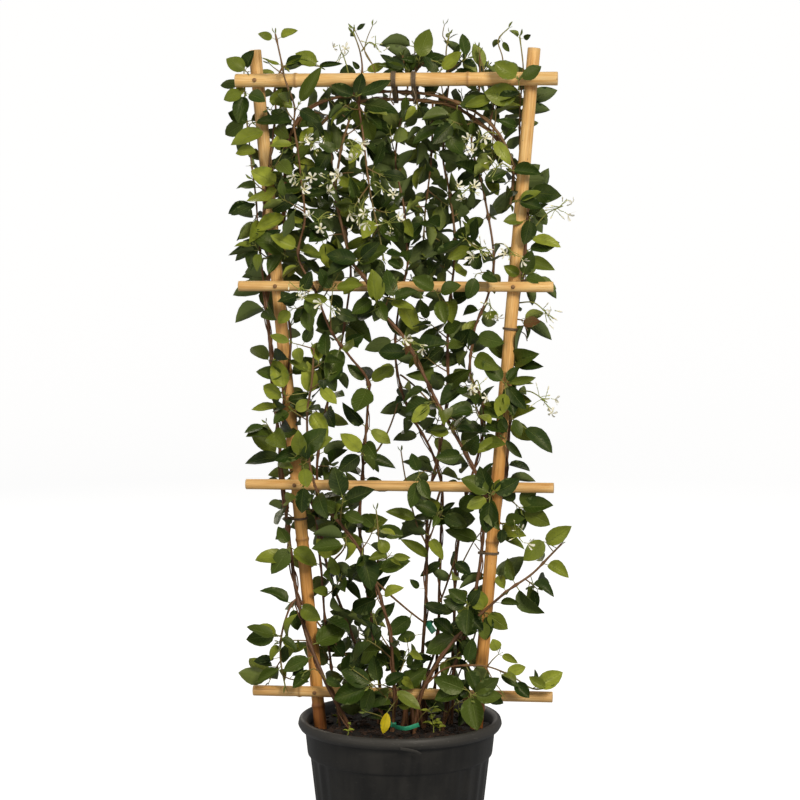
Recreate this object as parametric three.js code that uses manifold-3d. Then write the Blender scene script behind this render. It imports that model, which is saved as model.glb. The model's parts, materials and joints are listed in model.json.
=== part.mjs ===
// Star jasmine grown up a cane trellis in a nursery pot.
// Millimetres, +Z up. The origin is the middle of the pot's base, and the trellis faces -Y.
import * as THREE from "three";
import { mergeVertices } from "three/addons/utils/BufferGeometryUtils.js";
import Module from "manifold-3d";

const wasm = await Module();
wasm.setup();

// ---------------------------------------------------------------- driving dimensions
const GAP = 0.3; // left between pieces that touch
const HOLE_ROOM = 0.6; // added to the radius of what stands in the soil, for its hole
const CUT_PAST = 5; // how far a cut runs past what it cuts

const POT = {
  sides: 32,
  height: 220,
  footRadius: 95,
  stepHeight: 171,
  stepRadius: 114.5,
  stepRise: 4,
  bandFoot: 118, // radius just above the step
  bandRadius: 121,
  rimRadius: 130,
  rimDepth: 14,
  chamfer: { width: 3, rise: 5 }, // of the rim's lower edge
  lip: { fall: 2.5, slope: 1.5, width: 5, inside: 4 }, // of the rim's upper edge
  wall: 2.5,
  floor: 4,
  fluteDepth: 1.5,
  plainHalfAngle: 37, // degrees of smooth wall either side of the front and the back
  drainHoles: 6,
  drainRadius: 6,
  drainCircle: 72,
};
// clear: how far the soil stays from the wall below the step, at the band's foot and at its top
const SOIL = {
  top: 205,
  sides: 20,
  clear: { below: 2.4, foot: 3.6, band: 2.2 },
  bandFootUp: 12,
  edgeDown: 3,
  ringRadii: [92, 48],
  crown: 3,
};
// Low waves in the soil's top: their height, and lengths along x and y.
const MOUND = { height: 5, long: { share: 0.5, x: 23, y: 19 }, short: { share: 0.35, x: 11, y: 13 } };

const CANE_SIDES = 8;
// joint: distance from the cane's foot or left end to its first joint
const UPRIGHT = { radius: 8, bottom: 62, top: 1063, joint: 170, buried: 0.16 };
// x at the height of the pot's rim, and its change with height
const LEFT_UPRIGHT = { x: -104, lean: -0.0938 };
const RIGHT_UPRIGHT = { x: 99, lean: 0.0805 };
const RAILS = [
  { name: "rail_bottom", z: 252, left: -187, right: 195, radius: 6.8, joint: 60 },
  { name: "rail_lower", z: 517, left: -195, right: 195, radius: 6.6, joint: 108 },
  { name: "rail_upper", z: 768, left: -203, right: 193, radius: 6.5, joint: 100 },
  { name: "rail_top", z: 1024, left: -205, right: 197, radius: 8.5, joint: 76 },
];
const CANE_JOINT = { spacing: 215, swell: 0.9, waist: 0.2, halfLength: 3, clearOfEnd: 15 };
const NAIL = {
  shank: 1,
  shankSides: 4,
  hole: 1.5,
  head: 2.6,
  headSides: 6,
  headThickness: 1,
  intoUpright: 7,
};

const STEM_SIDES = 4; // of a stem that is rooted in the soil
const SHOOT_SIDES = 3; // of what branches from it
const STEM_STEP = 48;
const PETIOLE = 5;
const ROOT_DEPTH = 0.5; // of the stem's radius, how far past its middle a leaf's root point lies
// A blade's neck, its widest place and its shoulder, which is where it starts to close to the tip.
const BLADE = {
  neck: 1,
  neckKeel: 1.2,
  foot: 0.06,
  widest: 0.42,
  keel: 1.5,
  shoulder: 0.76,
  shoulderWidth: 0.7,
  shoulderKeel: 1.275,
};
const PETALS = 5;
const FLOWER = { notch: 0.34, front: 0.8, back: 1.4, twist: 0.22, reflex: 1.2 };

const COLOUR = {
  pot: 0x2b2b2b, soil: 0x2a1c12, cane: 0xd9a45c, plant: 0x2f5228, bloom: 0xf5f3df,
  steel: 0x8a8a86, greyTie: 0x5c5a4c, greenTie: 0x1f7d55,
};

const uprightX = (upright, z) => upright.x + upright.lean * (z - POT.height);
const railY = (rail) => -(UPRIGHT.radius + GAP + rail.radius);

const BAND_THICKNESS = 1;
const ARCH_TIES = [
  { name: "tie_arch_left", x: -6 },
  { name: "tie_arch_right", x: 19 },
];
const UPRIGHT_TIES = [
  { name: "tie_right_upper", upright: RIGHT_UPRIGHT, z: 715, node: "stem_right_outer" },
  { name: "tie_right_lower", upright: RIGHT_UPRIGHT, z: 432, node: "stem_diagonal" },
  { name: "tie_left_lower", upright: LEFT_UPRIGHT, z: 472, node: "stem_left_outer" },
];
const GREEN_TIES = [
  { name: "tie_green_upper", node: "stem_centre_three", z: 334 },
  { name: "tie_green_lower", node: "stem_centre_left", z: 216 },
];

// ---------------------------------------------------------------- vectors
const add = (a, b) => [a[0] + b[0], a[1] + b[1], a[2] + b[2]];
const sub = (a, b) => [a[0] - b[0], a[1] - b[1], a[2] - b[2]];
const scale = (a, k) => [a[0] * k, a[1] * k, a[2] * k];
const dot = (a, b) => a[0] * b[0] + a[1] * b[1] + a[2] * b[2];
const cross = (a, b) => [
  a[1] * b[2] - a[2] * b[1],
  a[2] * b[0] - a[0] * b[2],
  a[0] * b[1] - a[1] * b[0],
];
const size = (a) => Math.sqrt(dot(a, a));
const unit = (a) => scale(a, 1 / size(a));
const mix = (a, b, t) => add(scale(a, 1 - t), scale(b, t));
const sum = (...vectors) => vectors.reduce(add);
const radians = (degrees) => (degrees * Math.PI) / 180;

// A seeded stream of numbers from 0 to 1.
function draws(seed) {
  let state = seed;
  const next = () => {
    state = (state * 1664525 + 1013904223) % 4294967296;
    return state / 4294967296;
  };
  for (let i = 0; i < 5; i++) next();
  return next;
}
const between = (next, low, high) => low + (high - low) * next();

// ---------------------------------------------------------------- solids
function solidOf(geometry) {
  geometry.deleteAttribute("normal");
  geometry.deleteAttribute("uv");
  const merged = mergeVertices(geometry, 1e-3);
  return new wasm.Manifold(
    new wasm.Mesh({
      numProp: 3,
      vertProperties: merged.attributes.position.array,
      triVerts: new Uint32Array(merged.index.array),
    }),
  );
}

// A closed skin over rings of points that run counter-clockwise about the way the rings advance.
// Rings may differ in their number of points, and a ring of one point is a tip. With loop set, the
// last ring joins the first.
function skin(rings, loop = false) {
  const faces = [];
  const starts = [];
  const points = [];
  for (const ring of rings) {
    starts.push(points.length);
    points.push(...ring);
  }
  const pairs = loop ? rings.length : rings.length - 1;
  for (let k = 0; k < pairs; k++) {
    const j = (k + 1) % rings.length;
    const [na, nb] = [rings[k].length, rings[j].length];
    const a = (i) => starts[k] + (i % na);
    const b = (i) => starts[j] + (i % nb);
    for (let i = 0, m = 0; i < na || m < nb; ) {
      const stepA = m === nb || (i < na && (i + 1) * nb <= (m + 1) * na);
      if (stepA && na > 1) faces.push(a(i), a(i + 1), b(m));
      if (!stepA && nb > 1) faces.push(a(i), b(m + 1), b(m));
      if (stepA) i++;
      else m++;
    }
  }
  if (!loop) {
    const last = rings.length - 1;
    for (let i = 1; i + 1 < rings[0].length; i++) faces.push(0, i + 1, i);
    for (let i = 1; i + 1 < rings[last].length; i++)
      faces.push(starts[last], starts[last] + i, starts[last] + i + 1);
  }
  return new wasm.Manifold(
    new wasm.Mesh({
      numProp: 3,
      vertProperties: new Float32Array(points.flat()),
      triVerts: new Uint32Array(faces),
    }),
  );
}

// Points of a circle about a centre, across the direction `along`; `side` is where it starts.
function circle(centre, along, side, radius, sides, turn = 0) {
  const other = cross(along, side);
  return Array.from({ length: sides }, (_, i) => {
    const a = turn + (2 * Math.PI * i) / sides;
    return sum(centre, scale(side, radius * Math.cos(a)), scale(other, radius * Math.sin(a)));
  });
}

const rod = (from, to, radius, sides) => {
  const along = unit(sub(to, from));
  const side = Math.abs(along[2]) > 0.9 ? [1, 0, 0] : unit(cross([0, 0, 1], along));
  return skin([from, to].map((p) => circle(p, along, side, radius, sides, Math.PI / sides)));
};

// ---------------------------------------------------------------- routes
// A smooth line through hand-set points, in steps of about `step`.
function through(points, step) {
  const line = [];
  for (let i = 0; i + 1 < points.length; i++) {
    const [p1, p2] = [points[i], points[i + 1]];
    const p0 = points[Math.max(i - 1, 0)];
    const p3 = points[Math.min(i + 2, points.length - 1)];
    const count = Math.max(1, Math.floor(size(sub(p2, p1)) / step + 0.5));
    for (let j = 0; j < count; j++) {
      const t = j / count;
      line.push(
        p1.map(
          (_, c) =>
            0.5 *
            (2 * p1[c] +
              (p2[c] - p0[c]) * t +
              (2 * p0[c] - 5 * p1[c] + 4 * p2[c] - p3[c]) * t * t +
              (3 * p1[c] - p0[c] - 3 * p2[c] + p3[c]) * t * t * t),
        ),
      );
    }
  }
  line.push(points[points.length - 1]);
  return line;
}

const lengthsAlong = (line) =>
  line.reduce((out, p, i) => [...out, i ? out[i - 1] + size(sub(p, line[i - 1])) : 0], []);

// The place and direction at distance s along a line.
function at(line, lengths, s) {
  let i = 1;
  while (i < line.length - 1 && lengths[i] < s) i++;
  const t = (s - lengths[i - 1]) / (lengths[i] - lengths[i - 1]);
  return { place: mix(line[i - 1], line[i], t), along: unit(sub(line[i], line[i - 1])) };
}

// A stem that winds once round an upright in each bay, and passes behind it at each rail.
const TWINE = { radius: 10.6, pointsPerTurn: 12 };
function twine(upright, lowRail, turns) {
  const points = [];
  for (let bay = 0; bay < turns; bay++) {
    const [z0, z1] = [RAILS[lowRail + bay].z, RAILS[lowRail + bay + 1].z];
    const steps = Math.ceil(Math.min(1, turns - bay) * TWINE.pointsPerTurn);
    for (let k = 0; k < steps; k++) {
      const a = Math.PI / 2 + (2 * Math.PI * k) / TWINE.pointsPerTurn;
      const z = z0 + ((z1 - z0) * k) / TWINE.pointsPerTurn;
      points.push([
        uprightX(upright, z) + TWINE.radius * Math.cos(a),
        TWINE.radius * Math.sin(a),
        z,
      ]);
    }
  }
  return points;
}

// ---------------------------------------------------------------- the plant's stems
// Each plant stem is a list of shoots. The first is rooted in the soil and the rest branch from it.
// path: x, y, z by hand. thick: radius at the start and the end. from: bare length at the start.
// spacing: distance between leaf pairs. leaf: shortest and longest blade.
const PLANT = {
  stem_left_outer: [
    {
      seed: 101, thick: [3.2, 2.2], from: 185, spacing: 64, leaf: [32, 48],
      path: [
        [-58, -24, 140], [-60, -26, 200], [-80, -34, 248], [-98, -34, 285], [-116, -22, 323],
        [-131, -8, 373], [-143, 0, 449], [-149, 0, 511], [-155, 0, 574], [-161, 0, 637],
        [-166, 0, 700], [-171, 3, 755], [-165, 15, 790], [-150, 13, 830], [-147, 2, 876],
        [-143, 0, 938], [-127, 2, 978], [-95, 2, 999], [-51, 0, 1009], [-1, -1, 1010],
        [49, 0, 1004], [93, 2, 985], [124, 0, 957], [141, 0, 915], [138, 2, 870],
      ],
    },
    {
      seed: 102, thick: [1.5, 0.9], from: 12, spacing: 52, leaf: [30, 45],
      path: [
        [-171, 2, 755], [-178, 1, 813], [-182, 0, 863], [-187, 0, 913],
        [-192, 1, 963], [-197, 2, 1005], [-197, 2, 1046],
      ],
    },
    {
      seed: 103, thick: [1.7, 1.1], from: 10, spacing: 51, leaf: [29, 43],
      path: [[-131, -8, 370], [-140, -16, 358], [-148, -24, 332], [-149, -30, 299], [-143, -33, 262]],
    },
    {
      seed: 104, thick: [1.6, 1], from: 16, spacing: 51, leaf: [30, 45],
      path: [
        [-51, 0, 1009], [-50, -14, 985], [-42, -24, 938], [-36, -28, 888], [-24, -31, 838],
        [-18, -29, 800],
      ],
    },
    {
      seed: 105, thick: [1.5, 0.9], from: 26, spacing: 46, leaf: [21, 34],
      path: [[-51, 0, 1009], [-47, 3, 1038], [-50, 2, 1062], [-58, 0, 1084]],
    },
    {
      seed: 106, thick: [1.4, 0.9], from: 60, spacing: 59, leaf: [20, 27],
      path: [[112, 1, 968], [120, 4, 1010], [128, 4, 1045], [122, 3, 1072], [136, 1, 1088]],
    },
  ],
  stem_right_outer: [
    {
      seed: 201, thick: [3.2, 2.1], from: 150, spacing: 64, leaf: [32, 48],
      path: [
        [29, 4, 140], [30, 5, 200], [32, 8, 255], [49, 11, 292], [77, 14, 333], [100, 16, 366],
        [114, 15, 398], [120, 14, 432], [123, 13, 470], [131, 11, 524], [136, 10, 574], [139, 10, 630],
        [141, 13, 687], [146, 12, 737], [153, 10, 788], [158, 8, 830], [158, 14, 868], [148, 17, 905],
        [132, 12, 935], [116, 9, 956], [97, 10, 974], [72, 10, 989], [40, 9, 998], [0, 9, 1001],
        [-40, 10, 1000], [-75, 11, 990], [-101, 11, 970], [-116, 11, 940],
      ],
    },
    {
      seed: 202, thick: [1.7, 1], from: 18, spacing: 55, leaf: [30, 45],
      path: [[40, 9, 998], [38, 20, 960], [34, 30, 910], [28, 36, 860], [26, 36, 800], [22, 34, 745]],
    },
    {
      seed: 203, thick: [1.5, 0.9], from: 34, spacing: 49, leaf: [22, 36],
      path: [[57, 9, 994], [60, 8, 1030], [57, 4, 1060], [61, 2, 1082]],
    },
    {
      seed: 204, thick: [1.4, 0.9], from: 66, spacing: 55, leaf: [18, 28],
      path: [[150, 17, 900], [148, 14, 960], [151, 8, 1012], [152, 5, 1045], [150, 3, 1078]],
    },
  ],
  stem_right_low: [
    {
      seed: 301, thick: [3, 1.5], from: 200, spacing: 51, leaf: [29, 45],
      path: [
        [20, -32, 140], [21, -33, 200], [30, -34, 252], [44, -34, 285], [62, -30, 312],
        [80, -24, 334], [106, -16, 358], [136, -13, 384], [167, -9, 406], [190, -6, 430], [205, -4, 446],
      ],
    },
    {
      seed: 302, thick: [1.7, 1], from: 60, spacing: 51, leaf: [26, 39],
      path: [
        [36, -34, 268], [58, -36, 288], [86, -36, 294], [114, -33, 292],
        [143, -31, 280], [170, -32, 266], [192, -33, 268],
      ],
    },
  ],
  stem_diagonal: [
    {
      seed: 401, thick: [3, 1.8], from: 170, spacing: 70, leaf: [32, 46],
      path: [
        [54, -6, 140], [55, -5, 200], [62, 0, 252], [78, -4, 310], [93, -5, 365], [101, -3, 410],
        [106, -4, 455], [110, -22, 488], [107, -30, 517], [92, -33, 550], [70, -34, 588], [44, -36, 637],
        [13, -36, 699], [-14, -34, 731], [-30, -31, 760], [-45, -30, 785], [-58, -26, 800],
        [-70, -20, 838], [-79, -14, 888], [-72, -12, 938], [-62, -12, 975],
      ],
    },
  ],
  stem_centre_left: [
    {
      seed: 501, thick: [2.6, 1.5], from: 120, spacing: 54, leaf: [30, 46],
      path: [
        [-6, -30, 140], [-6, -31, 200], [-4, -32, 252], [-9, -30, 323], [-20, -27, 373], [-35, -27, 411],
        [-52, -28, 444], [-70, -30, 468], [-94, -32, 496], [-108, -32, 530], [-113, -29, 574],
        [-114, -27, 612], [-108, -27, 650], [-106, -27, 690],
      ],
    },
    {
      seed: 502, thick: [1.6, 1], from: 14, spacing: 49, leaf: [29, 41],
      path: [[-30, -27, 400], [-24, -40, 425], [-22, -44, 455], [-26, -44, 490]],
    },
  ],
  stem_centre_one: [
    {
      seed: 601, thick: [2.8, 1.5], from: 330, spacing: 58, leaf: [30, 46],
      path: [
        [14, 20, 140], [15, 20, 200], [24, 20, 260], [29, 18, 323], [32, 17, 392], [33, 16, 465],
        [37, 16, 512], [45, 14, 544], [54, 13, 587], [60, 12, 650], [59, 12, 706], [63, 12, 754],
        [68, 15, 813], [62, 20, 876], [52, 22, 926], [56, 24, 966],
      ],
    },
    {
      seed: 602, thick: [1.6, 1], from: 14, spacing: 50, leaf: [29, 41],
      path: [[33, 16, 440], [42, 0, 462], [48, -14, 480], [52, -24, 486]],
    },
  ],
  stem_centre_two: [
    {
      seed: 701, thick: [2.7, 1.2], from: 190, spacing: 63, leaf: [30, 46],
      path: [
        [-24, 6, 140], [-24, 6, 200], [-26, 6, 248], [-32, 6, 310], [-42, 5, 373], [-51, 6, 436],
        [-52, 8, 480], [-48, 8, 544], [-42, 4, 608], [-40, -4, 648], [-62, -14, 680], [-84, -26, 712],
        [-104, -31, 765], [-124, -32, 805], [-116, -33, 852], [-121, -34, 913], [-128, -35, 965],
        [-127, -36, 991], [-139, -37, 1023], [-144, -38, 1050], [-151, -36, 1080],
      ],
    },
  ],
  stem_centre_three: [
    {
      seed: 801, thick: [2.7, 1.4], from: 340, spacing: 58, leaf: [30, 46],
      path: [
        [36, 36, 140], [37, 37, 200], [42, 36, 260], [46, 34, 323], [48, 32, 392], [50, 31, 465],
        [51, 30, 509], [38, 28, 555], [14, 26, 599], [0, 20, 637], [-8, 18, 687], [-2, 16, 750],
        [8, 15, 800], [3, 18, 863], [-8, 24, 926], [-2, 25, 976], [8, 21, 1020], [2, 14, 1056],
      ],
    },
    {
      seed: 802, thick: [1.5, 0.9], from: 12, spacing: 46, leaf: [29, 43],
      path: [[8, 21, 1020], [22, 8, 1040], [34, -2, 1048], [48, -8, 1046]],
    },
  ],
  stem_centre_four: [
    {
      seed: 901, thick: [2.6, 1.3], from: 250, spacing: 58, leaf: [30, 46],
      path: [
        [62, 30, 140], [63, 29, 200], [66, 29, 248], [67, 29, 323], [68, 26, 386], [72, 18, 440],
        [78, 10, 480], [85, 8, 512], [97, 5, 549], [106, 1, 587], [104, -5, 624], [89, -7, 662],
        [94, -3, 712], [110, 2, 756], [118, 3, 800], [111, 10, 850], [100, 17, 901], [88, 22, 951],
        [97, 23, 1014], [98, 17, 1058],
      ],
    },
    {
      seed: 902, thick: [1.6, 1], from: 12, spacing: 49, leaf: [29, 41],
      path: [[106, 1, 587], [102, -14, 606], [96, -26, 628], [94, -33, 656]],
    },
  ],
  stem_left_mid: [
    {
      seed: 1001, thick: [2.5, 1.4], from: 95, spacing: 55, leaf: [30, 46],
      path: [
        [-38, 26, 140], [-39, 26, 200], [-48, 26, 260], [-66, 24, 323], [-85, 21, 373], [-99, 17, 423],
        [-106, 13, 474], [-108, 12, 536], [-101, 13, 587], [-90, 15, 637], [-78, 18, 687],
        [-70, 20, 737], [-65, 20, 788], [-72, 20, 838], [-84, 19, 888], [-89, 20, 930], [-84, 24, 962],
      ],
    },
    {
      seed: 1002, thick: [1.6, 1], from: 14, spacing: 49, leaf: [29, 41],
      path: [[-96, 18, 410], [-84, 2, 420], [-70, -8, 436], [-66, -12, 462]],
    },
  ],
  stem_left_twiner: [
    {
      seed: 1101, thick: [2, 1.3], from: 140, spacing: 63, leaf: [30, 46],
      path: [
        [-77, 8, 140], [-78, 9, 200], [-88, 12, 260], [-97, 11, 340], [-104, 9, 420], [-111, 11, 480],
        ...twine(LEFT_UPRIGHT, 1, 1.75),
        [-158, 10, 985], [-160, 12, 1012], [-150, 8, 1040], [-132, -2, 1046], [-108, -8, 1045],
      ],
    },
  ],
};

// ---------------------------------------------------------------- flower sprays
// root: where the stalk leaves its stem. end: where the blooms stand.
// facing: the way the blooms look. blooms: how many.
const SPRAYS = [
  { root: [-124, -34, 940], end: [-100, -56, 944], facing: [0.2, -1, 0], blooms: 3 },
  { root: [-72, -12, 945], end: [-52, -50, 940], facing: [0.3, -1, -0.2], blooms: 3 },
  { root: [-121, -34, 905], end: [-112, -62, 900], facing: [-0.2, -1, -0.1], blooms: 3 },
  { root: [-78, -14, 892], end: [-80, -54, 897], facing: [0, -1, 0.1], blooms: 3 },
  { root: [-36, -28, 880], end: [-44, -60, 852], facing: [-0.1, -1, -0.3], blooms: 4 },
  { root: [-24, -31, 838], end: [-6, -62, 846], facing: [0.3, -1, 0], blooms: 3 },
  { root: [124, 0, 957], end: [98, -38, 945], facing: [0, -1, 0.3], blooms: 3 },
  { root: [141, 0, 912], end: [120, -36, 912], facing: [-0.1, -1, 0], blooms: 3 },
  { root: [103, 15, 888], end: [84, -34, 886], facing: [0, -1, 0.1], blooms: 3 },
  { root: [118, 3, 803], end: [100, -38, 814], facing: [0.1, -1, 0.2], blooms: 4 },
  { root: [115, 6, 820], end: [146, -34, 806], facing: [0.1, -1, 0.1], blooms: 2 },
  { root: [105, 0, 738], end: [118, -38, 742], facing: [0.1, -1, -0.2], blooms: 2 },
  { root: [10, -36, 704], end: [24, -66, 698], facing: [0.1, -1, -0.1], blooms: 2 },
  { root: [-104, -31, 765], end: [-120, -60, 764], facing: [-0.2, -1, 0.1], blooms: 2 },
  { root: [-84, -26, 714], end: [-80, -58, 744], facing: [0, -1, 0.3], blooms: 2 },
  { root: [158, 7, 828], end: [204, -12, 868], facing: [0.8, -0.6, 0], blooms: 3 },
  { root: [148, 11, 748], end: [188, -12, 732], facing: [0.8, -0.5, -0.3], blooms: 3 },
  { root: [139, 10, 634], end: [186, -12, 624], facing: [0.8, -0.5, -0.2], blooms: 3 },
  { root: [-60, 0, 1008], end: [-74, -2, 1062], facing: [-0.5, -0.6, 0.6], blooms: 2 },
  { root: [123, 13, 468], end: [154, -34, 456], facing: [0.3, -1, 0.1], blooms: 2 },
  { root: [-75, -17, 855], end: [-98, -50, 850], facing: [-0.2, -1, -0.1], blooms: 2 },
  { root: [-37, -28, 892], end: [-14, -58, 888], facing: [0.2, -1, 0.1], blooms: 2 },
  { root: [95, -30, 648], end: [106, -62, 643], facing: [0.1, -1, 0], blooms: 2 },
  { root: [-50, 2, 1060], end: [-28, -8, 1066], facing: [0.5, -0.8, 0.2], blooms: 2 },
];
const BLOOM_RADIUS = [8, 10];
const SPRAY = {
  stalkFoot: 0.7,
  stalk: 1.5,
  pedicel: 0.7,
  arch: 8,
  seed: 7000,
  firstTurn: 0.6,
  forward: [3, 8], // of a bloom in front of the stalk's end
  splay: [0.2, 0.6],
  spread: 12,
  seatStep: 0.1,
  forks: [0.85, 0.55, 0.7, 0.4],
};

// The stalk's line and each bloom's place and facing. The stalk starts `off` from its stem's middle.
function growSpray(spray, index, off) {
  const next = draws(SPRAY.seed + index);
  const start = add(spray.root, scale(unit(sub(spray.end, spray.root)), off));
  const middle = add(mix(start, spray.end, 0.5), [0, 0, SPRAY.arch]);
  const facing = unit(spray.facing);
  const side = unit(cross(facing, [0, 0, 1]));
  const up = cross(side, facing);
  const blooms = [];
  for (let i = 0; i < spray.blooms; i++) {
    const turn = (2 * Math.PI * (i + between(next, -0.15, 0.15))) / spray.blooms + SPRAY.firstTurn;
    const outward = add(scale(side, Math.cos(turn)), scale(up, Math.sin(turn)));
    blooms.push({
      place: sum(
        spray.end,
        scale(outward, SPRAY.spread * between(next, 0.9, 1.1)),
        scale(facing, between(next, ...SPRAY.forward)),
      ),
      facing: unit(add(facing, scale(outward, between(next, ...SPRAY.splay)))),
      radius: between(next, ...BLOOM_RADIUS),
    });
  }
  return { stalk: [start, middle, spray.end], blooms };
}

// ---------------------------------------------------------------- leaves
// What a leaf must stay clear of: rods with a radius, and leaves that are already there.
const CLEAR_OF_ROD = 3.4;
const CLEAR_OF_OWN = 1.6;
const CLEAR_OF_LEAF = 3.6;
const CLEAR_OF_NECK = 2;
const NECK = 1; // how far out of the stem the leaf's stalk is tested
const TRIES = 9;
const SHRINK_STEP = 0.045; // of a leaf's length, from one try to the next
const REACH = 0.62; // of a leaf's length, the furthest that its blade lies from its middle
// How leaves leave a shoot. turns: degrees round the shoot, for even and odd pairs.
const LEAF = {
  turns: [6, 58],
  turnStray: 42,
  forward: [-0.1, 0.75],
  sideways: 0.33,
  drop: [-0.9, 0.35],
  lookX: 0.7,
  lookY: 0.5,
  lookUp: [-0.05, 0.95],
  half: [0.235, 0.31], // of the length
  bend: [0.03, 0.28],
  youngLength: 70, // of the end of a shoot
  outreach: 14, // a blade that comes out this far behind `turnsBack` looks to the back
  turnsBack: 10,
};

// Boxes of open space, x and z from the lowest to the highest, where the canes and the blooms show.
const OPEN_FRONT = -17; // only what is in front of this y is kept open
const RIM_VIEW = { above: 6, within: 16 }; // kept open round the pot's rim
const SOIL_VIEW = 5; // and over the soil
const OPEN = [
  { x: [-210, -60], z: [1012, 1036] }, { x: [58, 200], z: [1012, 1036] },
  { x: [-210, -150], z: [758, 779] }, { x: [40, 200], z: [757, 779] },
  { x: [-200, -140], z: [507, 528] }, { x: [-75, -5], z: [508, 527] },
  { x: [125, 200], z: [507, 527] },
  { x: [-190, -60], z: [243, 262] }, { x: [120, 200], z: [244, 258] },
  { x: [-190, -160], z: [930, 1070] }, { x: [150, 180], z: [890, 1070] },
  { x: [128, 158], z: [640, 757] }, { x: [104, 130], z: [300, 430] },
  { x: [-135, -112], z: [380, 470] }, { x: [-118, -98], z: [206, 245] },
  { x: [90, 108], z: [206, 245] },
];

const bladeHalfWidth = (leaf, t) => {
  const { foot, widest, shoulder, shoulderWidth } = BLADE;
  if (t < widest) return leaf.half * (foot + ((1 - foot) * t) / widest);
  if (t < shoulder)
    return leaf.half * (1 - ((1 - shoulderWidth) * (t - widest)) / (shoulder - widest));
  return (leaf.half * shoulderWidth * (1 - t)) / (1 - shoulder);
};
// The point of a blade at t along it and v across it, from -1 to 1.
const onBlade = (leaf, t, v) =>
  sum(
    leaf.root,
    scale(leaf.along, PETIOLE + leaf.thick + t * leaf.length),
    scale(leaf.side, v * bladeHalfWidth(leaf, t)),
    scale(leaf.normal, -leaf.bend * leaf.length * t * t),
  );
const BLADE_SPAN = [-0.1, 1.06]; // of a blade's length, where another leaf counts as beside it
const BESIDE = 2; // and this far out from its margins
const SAMPLE_T = [0.08, 0.24, 0.4, 0.56, 0.72, 0.86, 1];
const SAMPLE_V = [-0.95, -0.5, 0, 0.5, 0.95];
const samplesOf = (leaf) => SAMPLE_T.flatMap((t) => SAMPLE_V.map((v) => onBlade(leaf, t, v)));

function insideLeaf(leaf, point) {
  const from = sub(point, leaf.root);
  const t = (dot(from, leaf.along) - PETIOLE - leaf.thick) / leaf.length;
  if (t < BLADE_SPAN[0] || t > BLADE_SPAN[1]) return false;
  const inBlade = Math.min(Math.max(t, 0), 1);
  const across = Math.abs(dot(from, leaf.side));
  const lift = dot(from, leaf.normal) + leaf.bend * leaf.length * inBlade * inBlade;
  return across < bladeHalfWidth(leaf, inBlade) + BESIDE && Math.abs(lift) < CLEAR_OF_LEAF;
}

function rodDistance(rodLine, point) {
  const span = sub(rodLine.to, rodLine.from);
  const t = Math.min(Math.max(dot(sub(point, rodLine.from), span) / rodLine.square, 0), 1);
  return size(sub(point, add(rodLine.from, scale(span, t)))) - rodLine.radius;
}

const inOpenSpace = ([x, y, z]) =>
  (y < OPEN_FRONT && OPEN.some((o) => x > o.x[0] && x < o.x[1] && z > o.z[0] && z < o.z[1])) ||
  (z < POT.height + RIM_VIEW.above && Math.hypot(x, y) > POT.rimRadius - RIM_VIEW.within) ||
  z < SOIL.top + MOUND.height + SOIL_VIEW;

function isClear(leaf, rods, leaves) {
  leaf.samples = samplesOf(leaf);
  leaf.middle = onBlade(leaf, 0.5, 0);
  const neck = add(leaf.root, scale(leaf.along, leaf.thick + NECK));
  if (leaf.samples.some(inOpenSpace)) return false;
  const reach = leaf.length * REACH;
  for (const r of rods) {
    if (rodDistance(r, leaf.middle) > reach + CLEAR_OF_ROD) continue;
    if (r.node !== leaf.node && rodDistance(r, neck) < CLEAR_OF_NECK) return false;
    const margin = r.node === leaf.node ? CLEAR_OF_OWN : CLEAR_OF_ROD;
    if (leaf.samples.some((p) => rodDistance(r, p) < margin)) return false;
  }
  for (const other of leaves) {
    if (size(sub(other.middle, leaf.middle)) > (other.length + leaf.length) * REACH + BESIDE * 2) continue;
    if (leaf.samples.some((p) => insideLeaf(other, p))) return false;
    if (other.samples.some((p) => insideLeaf(leaf, p))) return false;
  }
  return true;
}

// One try at a leaf on a shoot. pair counts the leaf pairs, and hand is +1 or -1 within a pair.
function tryLeaf(node, spot, thick, pair, hand, range, shrink, next) {
  const across = unit(cross(spot.along, [0, 1, 0.001]));
  const outOfPlane = cross(across, spot.along);
  const turn = radians(LEAF.turns[pair % 2] + between(next, -LEAF.turnStray, LEAF.turnStray));
  const away = scale(
    add(scale(across, Math.cos(turn)), scale(outOfPlane, Math.sin(turn))),
    hand,
  );
  const along = unit(
    sum(away, scale(spot.along, between(next, ...LEAF.forward)), [
      between(next, -LEAF.sideways, LEAF.sideways),
      between(next, -LEAF.sideways, LEAF.sideways),
      between(next, ...LEAF.drop),
    ]),
  );
  const front = spot.place[1] + LEAF.outreach * away[1] < LEAF.turnsBack ? -1 : 1;
  const toLight = [
    between(next, -LEAF.lookX, LEAF.lookX),
    front + between(next, -LEAF.lookY, LEAF.lookY),
    between(next, ...LEAF.lookUp),
  ];
  const normal = unit(sub(toLight, scale(along, dot(toLight, along))));
  const length = between(next, ...range) * shrink;
  return {
    node,
    root: spot.place,
    along,
    normal,
    side: cross(normal, along),
    length,
    half: length * between(next, ...LEAF.half),
    bend: between(next, ...LEAF.bend),
    thick,
  };
}

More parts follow.
